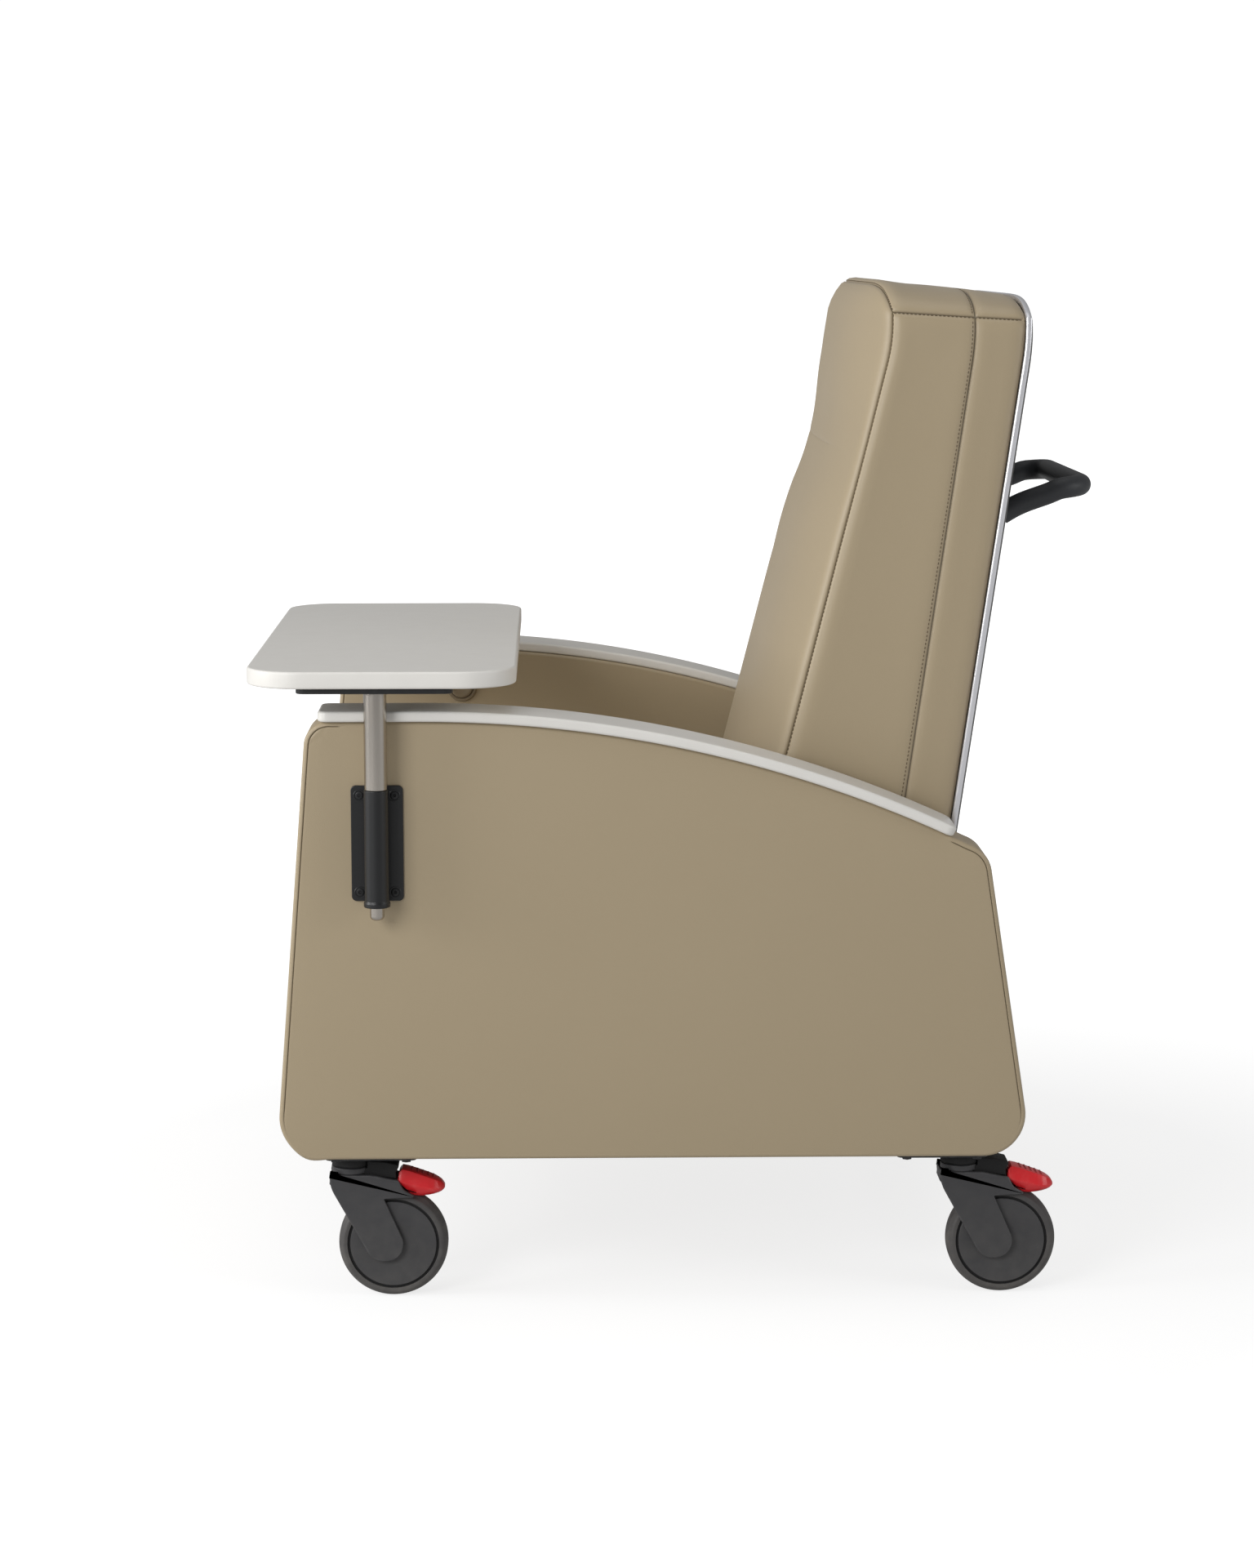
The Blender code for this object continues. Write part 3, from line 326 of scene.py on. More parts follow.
def sweep(path: Array, section: Array, scale: Array | None = None, closed: bool = False) -> Shape:
    """Carries a section along a path that never runs straight up.

    At each point of the path the section's first axis is the level direction square to the path
    and its second axis is square to both, so point = path + scale (a side + b top).

    Args:
        path: The points of the path.
        section: The section's (a, b) points.
        scale: Size of the section at each point of the path.
        closed: Whether the path's end joins its start.

    Returns:
        The closed surface; an open path's ends are drawn in to a point.
    """
    ahead = np.roll(path, -1, axis=0) - np.roll(path, 1, axis=0)
    if not closed:
        ahead[0], ahead[-1] = path[1] - path[0], path[-1] - path[-2]
        stalled = np.linalg.norm(ahead, axis=1) < 1e-9
        ahead[stalled] = path[-1] - path[-3]
    ahead /= np.linalg.norm(ahead, axis=1, keepdims=True)
    side = np.cross(ahead, (0.0, 0.0, 1.0))
    side /= np.linalg.norm(side, axis=1, keepdims=True)
    top = np.cross(side, ahead)
    size = np.ones(len(path)) if scale is None else scale
    spread = section[None, :, :1] * side[:, None] + section[None, :, 1:] * top[:, None]
    points = (path[:, None] + spread * size[:, None, None]).reshape(-1, 3)
    if not closed:
        points = np.concatenate((points, path[:1], path[-1:]))
    count = len(section)
    faces = [tuple(quad) for quad in grid_faces(len(path), count, closed, True).tolist()]
    if not closed:
        start, end, final = len(points) - 2, len(points) - 1, (len(path) - 1) * count
        faces += [(start, (i + 1) % count, i) for i in range(count)]
        faces += [(end, final + i, final + (i + 1) % count) for i in range(count)]
    return Shape(points, faces)


def circle(radius: float, sides: int = 40) -> Array:
    """A round section."""
    turn = np.linspace(0.0, 2 * pi, sides, endpoint=False)
    return np.stack((np.cos(turn), np.sin(turn)), axis=1) * radius


# ---------------------------------------------------------------- padded forms


def graded(half: float, marks: Sequence[float], coarse: float, fine: float, reach: float) -> Array:
    """Places along an axis from -1 to 1 that crowd round the marks.

    The step at a place is coarse, less (coarse - fine) exp(-(distance to the nearest mark / reach)^2),
    and the places are read off the running sum of 1 / step. Each mark is then a place.

    Args:
        half: Half the axis's length in metres.
        marks: Places that need fine steps, from -1 to 1.
        coarse: Step far from the marks, in metres.
        fine: Step at a mark, in metres.
        reach: How far a mark's fine steps reach, in metres.

    Returns:
        The places, rising from -1 to 1.
    """
    dense = np.linspace(-1.0, 1.0, 6001)
    gap = np.min(np.abs(dense[:, None] - np.array(marks)[None, :]), axis=1) * half
    step = coarse - (coarse - fine) * np.exp(-((gap / reach) ** 2))
    total = np.concatenate(([0.0], np.cumsum(2 * half / 6000 / ((step[1:] + step[:-1]) / 2))))
    places = np.interp(np.linspace(0.0, total[-1], int(np.ceil(total[-1])) + 1), total, dense)
    for mark in marks:
        places[np.argmin(np.abs(places - mark))] = mark
    return places


def cubic_along(new: Array, old: Array, values: Array) -> Array:
    """Reads values at new places by a cubic whose slopes are the values' own differences."""
    slope = np.gradient(values, old, axis=0)
    cell = np.clip(np.searchsorted(old, new) - 1, 0, len(old) - 2)
    width = (old[cell + 1] - old[cell])[:, None, None]
    t = ((new - old[cell]) / (old[cell + 1] - old[cell]))[:, None, None]
    start, end = values[cell], values[cell + 1]
    leave, arrive = slope[cell] * width, slope[cell + 1] * width
    return (
        (2 * t**3 - 3 * t**2 + 1) * start
        + (t**3 - 2 * t**2 + t) * leave
        + (3 * t**2 - 2 * t**3) * end
        + (t**3 - t**2) * arrive
    )


class CubeSkin:
    """The six faces of a cube from -1 to 1 as grids on shared places, welded at its edges."""

    def __init__(self, lines: Sequence[Array]) -> None:
        """Args:
        lines: The places along X, Y and Z.
        """
        self.lines = tuple(lines)
        loose, quads, spans, start = [], [], [], 0
        for axis in range(3):
            first, second = [k for k in range(3) if k != axis]
            u, v = np.meshgrid(self.lines[first], self.lines[second], indexing="ij")
            for end in (-1.0, 1.0):
                points = np.empty((*u.shape, 3))
                points[..., first], points[..., second], points[..., axis] = u, v, end
                loose.append(points.reshape(-1, 3))
                quads.append(grid_faces(*u.shape) + start)
                spans.append((axis, end, start, u.shape))
                start += u.size
        welded, number = np.unique(np.round(np.concatenate(loose), 9), axis=0, return_inverse=True)
        number = number.reshape(-1)
        self.points = welded
        self.faces = number[np.concatenate(quads)]
        self.index = {
            (axis, end): number[begin : begin + shape[0] * shape[1]].reshape(shape)
            for axis, end, begin, shape in spans
        }

    def read_from(self, other: "CubeSkin", values: Array) -> Array:
        """Carries values at another skin's points over to this skin's points."""
        result = np.zeros((len(self.points), values.shape[1]))
        for (axis, end), index in self.index.items():
            first, second = [k for k in range(3) if k != axis]
            there = values[other.index[(axis, end)]]
            rows = cubic_along(self.lines[first], other.lines[first], there)
            both = cubic_along(
                self.lines[second], other.lines[second], rows.transpose(1, 0, 2)
            ).transpose(1, 0, 2)
            result[index] = both
        return result


def point_normals(points: Array, faces: Array) -> Array:
    """Unit normals at the points: the sum of the normals of the quads round each one."""
    a, b, c, d = (points[faces[:, k]] for k in range(4))
    across = np.cross(c - a, d - b)
    total = np.zeros_like(points)
    for k in range(4):
        np.add.at(total, faces[:, k], across)
    return total / np.maximum(np.linalg.norm(total, axis=1, keepdims=True), 1e-12)


@dataclass
class Inflation:
    """A cloth solve under pressure with a form's seams held, and the most that it may move a point.

    The skins are stiff and their points heavy for the area that each has, so the solve moves a
    point by a tenth of a millimetre or so. The cushions' crowns come from the place functions.
    """

    pressure: float = 4.0
    frames: int = 20
    cap: float = 0.024
    spacing: float = 0.011
    stiffness: float = 12.0

    def run(self, points: Array, faces: Array, pinned: Array) -> Array:
        """Inflates a closed mesh with some points held.

        Args:
            points: The mesh's points.
            faces: Its quads.
            pinned: 1 where a point is held, 0 where it is free.

        Returns:
            Each point's move, no longer than the cap.
        """
        mesh = bpy.data.meshes.new("inflation")
        mesh.from_pydata(points.tolist(), [], faces.tolist())
        obj = bpy.data.objects.new("inflation", mesh)
        bpy.context.scene.collection.objects.link(obj)
        group = obj.vertex_groups.new(name="held")
        for weight in (0.25, 0.5, 1.0):
            chosen = np.flatnonzero(pinned >= weight).tolist()
            group.add(chosen, weight, "REPLACE")
        cloth = obj.modifiers.new("inflation", "CLOTH")
        settings = cloth.settings
        settings.quality = 5
        settings.mass = 0.3
        settings.tension_stiffness = self.stiffness
        settings.compression_stiffness = self.stiffness
        settings.bending_stiffness = 2.0
        settings.use_pressure = True
        settings.uniform_pressure_force = self.pressure
        settings.effector_weights.gravity = 0.0
        settings.vertex_group_mass = "held"
        cloth.point_cache.frame_start = 1
        cloth.point_cache.frame_end = self.frames
        scene = bpy.context.scene
        for step in range(1, self.frames + 1):
            scene.frame_set(step)
        evaluated = obj.evaluated_get(bpy.context.evaluated_depsgraph_get())
        blown = np.empty(len(points) * 3, np.float32)
        evaluated.data.vertices.foreach_get("co", blown)
        bpy.data.objects.remove(obj)
        scene.frame_set(1)
        move = blown.reshape(-1, 3) - points
        length = np.linalg.norm(move, axis=1, keepdims=True)
        return move * np.minimum(1.0, self.cap / np.maximum(length, 1e-9))


@dataclass
class PaddedForm:
    """A padded block: a cube's skin, rounded, put in place, settled by a cloth solve and sewn.

    rounded point = core + radius (point - core) / |point - core|, where core is the point held
    inside the block less its radius. seams(cube) gives each point's distance in metres from the
    nearest seam, and soft(cube) says how far the inflation may move each point, from 0 to 1.
    """

    half: Triple
    radius: float
    place: Callable[[Array], Array]
    marks: Sequence[Sequence[float]]
    seams: Callable[[Array], Array]
    soft: Callable[[Array], Array]
    inflation: Inflation | None = None
    coarse: float = 0.010
    fine: float = 0.0009
    reach: float = 0.006
    seam_depth: float = 0.0022
    seam_width: float = 0.0016
    puff: float = 0.0012

    def soften(self, cube: Array) -> Array:
        """Rounds the cube's edges to the block's radius."""
        half = np.array(self.half)
        block = cube * half
        core = np.clip(block, self.radius - half, half - self.radius)
        away = block - core
        length = np.maximum(np.linalg.norm(away, axis=1, keepdims=True), 1e-9)
        return (core + away / length * self.radius) / half

    def build(self) -> Shape:
        """Returns the finished surface, and keeps its skin and points for the stitching."""
        lines = [
            graded(half, marks, self.coarse, self.fine, self.reach)
            for half, marks in zip(self.half, self.marks)
        ]
        self.skin = CubeSkin(lines)
        cube = self.skin.points
        points = self.place(self.soften(cube))
        if self.inflation:
            points = points + self.blown(cube)
        normals = self.outward(points)
        distance = self.seams(cube)
        groove = np.exp(-((distance / self.seam_width) ** 2))
        swell = (1 - np.exp(-((distance / 0.006) ** 2))) * np.exp(-((distance / 0.030) ** 2))
        points = points + normals * (self.puff * swell - self.seam_depth * groove)[:, None]
        self.points = points
        self.normals = self.outward(points)
        faces = [tuple(quad) for quad in self.skin.faces.tolist()]
        # The seam mask: where the vinyl's colour is darkened as painted shade in the seam's groove.
        seam = np.exp(-((distance / (0.55 * self.seam_width)) ** 2))
        edge = np.clip(1 - distance / 0.008, 0, 1) * (1 - seam)
        return Shape(points, faces, {"seam": seam, "edge": edge})

    def blown(self, cube: Array) -> Array:
        """The inflation's move at each of the fine skin's points."""
        spacing = self.inflation.spacing
        rough = CubeSkin([np.linspace(-1, 1, max(5, int(2 * h / spacing) + 1)) for h in self.half])
        rest = self.place(self.soften(rough.points))
        held = np.maximum(np.exp(-((self.seams(rough.points) / 0.008) ** 2)), 1 - self.soft(rough.points))
        move = self.inflation.run(rest, self.faces_outward(rough, rest), held)
        move *= self.soft(rough.points)[:, None]
        return self.skin.read_from(rough, move)

    def faces_outward(self, skin: CubeSkin, points: Array) -> Array:
        """The skin's quads, each turned so that its normal leaves the middle of the form."""
        a, b, c, d = (points[skin.faces[:, k]] for k in range(4))
        inwards = np.sum(np.cross(c - a, d - b) * ((a + c) / 2 - points.mean(axis=0)), axis=1) < 0
        turned = skin.faces.copy()
        turned[inwards] = turned[inwards][:, ::-1]
        return turned

    def outward(self, points: Array) -> Array:
        """Normals that leave the form."""
        return point_normals(points, self.faces_outward(self.skin, points))

    def line_on(self, axis: int, end: float, across: int, place: float) -> tuple[Array, Array]:
        """The surface's points and normals along one of its grid lines.

        Args:
            axis: The axis that the face is square to.
            end: -1 or 1, the face's end of that axis.
            across: The axis on which the line keeps its place.
            place: That place, from -1 to 1.

        Returns:
            Points and normals from one end of the line to the other.
        """
        first, second = [k for k in range(3) if k != axis]
        index = self.skin.index[(axis, end)]
        column = int(np.argmin(np.abs(self.skin.lines[across] - place)))
        run = index[column] if across == first else index[:, column]
        return self.points[run], self.normals[run]


def stitch_row(
    points: Array, normals: Array, pitch: float = 0.0046, length: float = 0.0033, radius: float = 0.00052
) -> Shape:
    """Thread stitches along a line on a surface, each a short low bead sunk by half.

    A stitch's point = place + ahead (length / 2) cos s + (side cos t + normal sin t) radius sin s,
    with s from 0 to pi along it and t round it.

    Args:
        points: The line's points.
        normals: The surface's normals at them.
        pitch: Distance from one stitch to the next.
        length: A stitch's length.
        radius: A stitch's thickness.

    Returns:
        All of the stitches.
    """
    steps = np.linalg.norm(np.diff(points, axis=0), axis=1)
    run = np.concatenate(([0.0], np.cumsum(steps)))
    middles = np.arange(pitch, run[-1] - pitch, pitch)
    read = lambda values, at: np.stack([np.interp(at, run, values[:, k]) for k in range(3)], axis=1)
    place, normal = read(points, middles), read(normals, middles)
    ahead = read(points, middles + pitch / 3) - read(points, middles - pitch / 3)
    ahead /= np.linalg.norm(ahead, axis=1, keepdims=True)
    side = np.cross(ahead, normal)
    side /= np.linalg.norm(side, axis=1, keepdims=True)
    normal = np.cross(side, ahead)
    along, round_ = 5, 6
    turns = np.arange(round_) * 2 * pi / round_
    s, t = np.meshgrid(np.linspace(0.12, pi - 0.12, along), turns, indexing="ij")
    s, t = s.ravel(), t.ravel()
    bead = (
        ahead[:, None] * (np.cos(s) * length / 2)[None, :, None]
        + side[:, None] * (np.cos(t) * np.sin(s) * radius)[None, :, None]
        + normal[:, None] * (np.sin(t) * np.sin(s) * radius)[None, :, None]
    )
    body = grid_faces(along, round_, close_columns=True).tolist()
    ends = [tuple(range(round_))[::-1], tuple(range((along - 1) * round_, along * round_))]
    one = [tuple(quad) for quad in body] + ends
    size = along * round_
    faces = [tuple(i + n * size for i in face) for n in range(len(middles)) for face in one]
    return Shape((place[:, None] + bead).reshape(-1, 3), faces)


# ---------------------------------------------------------------- making pieces


def make_piece(
    name: str,
    shape: Shape,
    material: bpy.types.Material,
    body: str,
    replaces: Sequence[str] = (),
    sharp: float = 38.0,
) -> bpy.types.Object:
    """Makes an object from a shape drawn in the chair's datum, welds it and hangs it on a body.

    Args:
        name: The piece's name.
        shape: Its surface.
        material: Its finish.
        body: The moving body that it rides on.
        replaces: The nodes that it stands for.
        sharp: Edges that turn by more than this many degrees stay sharp.

    Returns:
        The object.
    """
    mesh = bpy.data.meshes.new(name)
    mesh.from_pydata((shape.points + DATUM).tolist(), [], shape.faces)
    for mask in ("edge", "seam"):
        layer = mesh.attributes.new(mask, "FLOAT", "POINT")
        layer.data.foreach_set("value", shape.mask(mask).astype(np.float32))
    work = bmesh.new()
    work.from_mesh(mesh)
    bmesh.ops.remove_doubles(work, verts=work.verts, dist=2e-6)
    bmesh.ops.recalc_face_normals(work, faces=work.faces)
    work.to_mesh(mesh)
    work.free()
    mesh.shade_smooth()
    mesh.set_sharp_from_angle(angle=radians(sharp))
    mesh.materials.append(material)
    obj = bpy.data.objects.new(name, mesh)
    bpy.context.scene.collection.objects.link(obj)
    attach(obj, body)
    if replaces:
        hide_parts(*replaces)
    LOG.info("%s: %d faces on %s", name, len(mesh.polygons), body)
    return obj


# ---------------------------------------------------------------- finishes


def tone(red: int, green: int, blue: int) -> tuple[float, float, float, float]:
    """A colour given as display values from 0 to 255, made linear."""
    values = np.array((red, green, blue)) / 255.0
    linear = np.where(values <= 0.04045, values / 12.92, ((values + 0.055) / 1.055) ** 2.4)
    return (*linear.tolist(), 1.0)


class Graph:
    """A node tree with short ways to add and join nodes."""

    def __init__(self, tree: bpy.types.NodeTree) -> None:
        """Args:
        tree: The node tree to build in.
        """
        self.tree = tree

    def add(self, kind: str, inputs: dict | None = None, **settings: object) -> bpy.types.Node:
        """Adds a node.

        Args:
            kind: The node's type.
            inputs: A value or an output socket for each named or numbered input.
            settings: The node's own settings.

        Returns:
            The node.
        """
        node = self.tree.nodes.new(kind)
        for key, value in settings.items():
            setattr(node, key, value)
        for key, value in (inputs or {}).items():
            if isinstance(value, bpy.types.NodeSocket):
                self.tree.links.new(value, node.inputs[key])
            else:
                node.inputs[key].default_value = value
        return node

    def math(self, operation: str, first: object, second: object = 0.0) -> bpy.types.NodeSocket:
        """Adds a Math node and returns its result."""
        return self.add("ShaderNodeMath", {0: first, 1: second}, operation=operation).outputs[0]

    def blend(self, share: object, first: object, second: object) -> bpy.types.NodeSocket:
        """Mixes two colours and returns the result."""
        node = self.add("ShaderNodeMix", data_type="RGBA")
        for key, value in ((0, share), (6, first), (7, second)):
            if isinstance(value, bpy.types.NodeSocket):
                self.tree.links.new(value, node.inputs[key])
            else:
                node.inputs[key].default_value = value
        return node.outputs[2]


def new_group(
    name: str, inputs: dict[str, tuple[str, float]], outputs: Sequence[str]
) -> tuple[Graph, dict, dict]:
    """Starts a shader node group.

    Args:
        name: The group's name.
        inputs: Each input's kind ("Float" or "Vector") and value.
        outputs: Names of the outputs, all of them values.

    Returns:
        Its graph, its input sockets by name, and its output sockets by name.
    """
    tree = bpy.data.node_groups.new(name, "ShaderNodeTree")
    for key, (kind, value) in inputs.items():
        socket = tree.interface.new_socket(key, in_out="INPUT", socket_type=f"NodeSocket{kind}")
        if kind == "Float":
            socket.default_value = value
    for key in outputs:
        tree.interface.new_socket(key, in_out="OUTPUT", socket_type="NodeSocketFloat")
    graph = Graph(tree)
    entry, leave = graph.add("NodeGroupInput"), graph.add("NodeGroupOutput")
    return graph, {s.name: s for s in entry.outputs}, {s.name: s for s in leave.inputs}


def grain_group() -> bpy.types.NodeTree:
    """Pebbled grain: rounded cells with a fine noise on them."""
    graph, given, out = new_group(
        "pebble_grain", {"Place": ("Vector", 0.0), "Cells": ("Float", 800.0)}, ("Height", "Pores")
    )
    cells = graph.add(
        "ShaderNodeTexVoronoi", {"Vector": given["Place"], "Scale": given["Cells"]}, feature="SMOOTH_F1"
    )
    finer = graph.math("MULTIPLY", given["Cells"], 2.6)
    noise = graph.add("ShaderNodeTexNoise", {"Vector": given["Place"], "Scale": finer, "Detail": 3.0})
    height = graph.math("ADD", cells.outputs["Distance"], graph.math("MULTIPLY", noise.outputs[0], 0.35))
    graph.tree.links.new(height, out["Height"])
    graph.tree.links.new(graph.math("POWER", cells.outputs["Distance"], 2.0), out["Pores"])
    return graph.tree


def mottle_group() -> bpy.types.NodeTree:
    """Slow variation over a surface, from 0 to 1 about a middle of one half."""
    graph, given, out = new_group(
        "mottle", {"Place": ("Vector", 0.0), "Scale": ("Float", 6.0)}, ("Value",)
    )
    broad = graph.add("ShaderNodeTexNoise", {"Vector": given["Place"], "Scale": given["Scale"], "Detail": 4.0})
    graph.tree.links.new(broad.outputs[0], out["Value"])
    return graph.tree


def wear_group() -> bpy.types.NodeTree:
    """Rubbing along edges: the edge mask, broken up by noise."""
    graph, given, out = new_group(
        "edge_wear",
        {"Place": ("Vector", 0.0), "Edge": ("Float", 0.0), "Amount": ("Float", 0.5)},
        ("Worn",),
    )
    noise = graph.add("ShaderNodeTexNoise", {"Vector": given["Place"], "Scale": 90.0, "Detail": 5.0})
    patches = graph.add(
        "ShaderNodeMapRange", {0: noise.outputs[0], 1: 0.45, 2: 0.75, 3: 0.0, 4: 1.0}
    ).outputs[0]
    worn = graph.math("MULTIPLY", graph.math("MULTIPLY", patches, given["Edge"]), given["Amount"])
    graph.tree.links.new(worn, out["Worn"])
    return graph.tree


def dust_group() -> bpy.types.NodeTree:
    """Fine dust that thins out with height above the floor."""
    graph, given, out = new_group(
        "floor_dust", {"Place": ("Vector", 0.0), "Amount": ("Float", 0.2)}, ("Dust",)
    )
    height = graph.add("ShaderNodeSeparateXYZ", {0: given["Place"]}).outputs[2]
    fade = graph.add("ShaderNodeMapRange", {0: height, 1: 0.0, 2: 0.16, 3: 1.0, 4: 0.15}).outputs[0]
    noise = graph.add("ShaderNodeTexNoise", {"Vector": given["Place"], "Scale": 60.0, "Detail": 6.0})
    dust = graph.math("MULTIPLY", graph.math("MULTIPLY", fade, noise.outputs[0]), given["Amount"])
    graph.tree.links.new(dust, out["Dust"])
    return graph.tree


def streak_group() -> bpy.types.NodeTree:
    """Brush lines: noise drawn out along one axis by the stretched place that it is given."""
    graph, given, out = new_group("brush_lines", {"Place": ("Vector", 0.0)}, ("Lines",))
    noise = graph.add("ShaderNodeTexNoise", {"Vector": given["Place"], "Scale": 1.0, "Detail": 4.0})
    graph.tree.links.new(noise.outputs[0], out["Lines"])
    return graph.tree


class Groups:
    """The node groups that the finishes share, each built once."""

    def __init__(self) -> None:
        """Builds all of the groups."""
        self.grain = grain_group()
        self.mottle = mottle_group()
        self.wear = wear_group()
        self.dust = dust_group()
        self.streaks = streak_group()


@dataclass(frozen=True)
class Finish:
    """A surface finish. Every number that is not a colour is a plain amount in the shader."""

    name: str
    colour: tuple[float, float, float, float]
    shade: tuple[float, float, float, float]
    roughness: float
    roughness_spread: float = 0.08
    metallic: float = 0.0
    grain_cells: float = 800.0
    bump: float = 0.1
    bump_height: float = 0.0003
    mottle_scale: float = 6.0
    mottle_contrast: float = 0.5
    wear: float = 0.0
    worn_colour: tuple[float, float, float, float] = (0.6, 0.6, 0.6, 1.0)
    dust: float = 0.0
    # How far the colour darkens in the seams' grooves: painted shade.
    seam_shade: float = 0.0
    coat: float = 0.0
    sheen: float = 0.0
    specular: float = 0.5
    stretch: Triple | None = None

    def material(self, groups: Groups) -> bpy.types.Material:
        """Builds the finish as a material.

        Args:
            groups: The shared node groups.

        Returns:
            The material.
        """
        material = bpy.data.materials.new(self.name)
        material.use_nodes = True
        graph = Graph(material.node_tree)
        shader = material.node_tree.nodes["Principled BSDF"]
        place = graph.add("ShaderNodeTexCoord").outputs["Object"]
        mottle = self.group(graph, groups.mottle, {"Place": place, "Scale": self.mottle_scale})
        share = graph.math("MULTIPLY", mottle.outputs["Value"], self.mottle_contrast)
        colour = graph.blend(share, self.colour, self.shade)
        if self.wear:
            edge = graph.add("ShaderNodeAttribute", attribute_name="edge").outputs["Fac"]
            worn = self.group(graph, groups.wear, {"Place": place, "Edge": edge, "Amount": self.wear})
            colour = graph.blend(worn.outputs["Worn"], colour, self.worn_colour)
        # Painted shade: the colour is drawn towards 0.16 of the shade tone in the seams' grooves, by the seam
        # mask.
        if self.seam_shade:
            seam = graph.add("ShaderNodeAttribute", attribute_name="seam").outputs["Fac"]
            depth = graph.math("MULTIPLY", seam, self.seam_shade)
            dark = tuple(0.16 * value for value in self.shade[:3]) + (1.0,)
            colour = graph.blend(depth, colour, dark)
        if self.dust:
            dust = self.group(graph, groups.dust, {"Place": place, "Amount": self.dust})
            colour = graph.blend(dust.outputs["Dust"], colour, tone(176, 170, 160))
        graph.tree.links.new(colour, shader.inputs["Base Color"])
        height = self.relief(graph, groups, place)
        spread = graph.math("MULTIPLY", graph.math("SUBTRACT", height, 0.5), self.roughness_spread)
        rough = graph.add("ShaderNodeMath", {0: spread, 1: self.roughness}, operation="ADD", use_clamp=True)
        graph.tree.links.new(rough.outputs[0], shader.inputs["Roughness"])
        bump = graph.add(
            "ShaderNodeBump", {"Strength": self.bump, "Distance": self.bump_height, "Height": height}
        )
        graph.tree.links.new(bump.outputs[0], shader.inputs["Normal"])
        shader.inputs["Metallic"].default_value = self.metallic
        shader.inputs["Coat Weight"].default_value = self.coat
        shader.inputs["Coat Roughness"].default_value = 0.25
        shader.inputs["Sheen Weight"].default_value = self.sheen
        shader.inputs["Specular IOR Level"].default_value = self.specular
        return material

    def relief(self, graph: Graph, groups: Groups, place: bpy.types.NodeSocket) -> bpy.types.NodeSocket:
        """The height that bump and roughness follow: grain, or brush lines where there is a stretch."""
        if self.stretch is None:
            grain = self.group(graph, groups.grain, {"Place": place, "Cells": self.grain_cells})
            return grain.outputs["Height"]
        drawn = graph.add("ShaderNodeMapping", {"Vector": place, "Scale": self.stretch})
        return self.group(graph, groups.streaks, {"Place": drawn.outputs[0]}).outputs["Lines"]

    @staticmethod
    def group(graph: Graph, tree: bpy.types.NodeTree, inputs: dict) -> bpy.types.Node:
        """Places a node group with its own values."""
        node = graph.add("ShaderNodeGroup", node_tree=tree)
        for key, value in inputs.items():
            if isinstance(value, bpy.types.NodeSocket):
                graph.tree.links.new(value, node.inputs[key])
            else:
                node.inputs[key].default_value = value
        return node


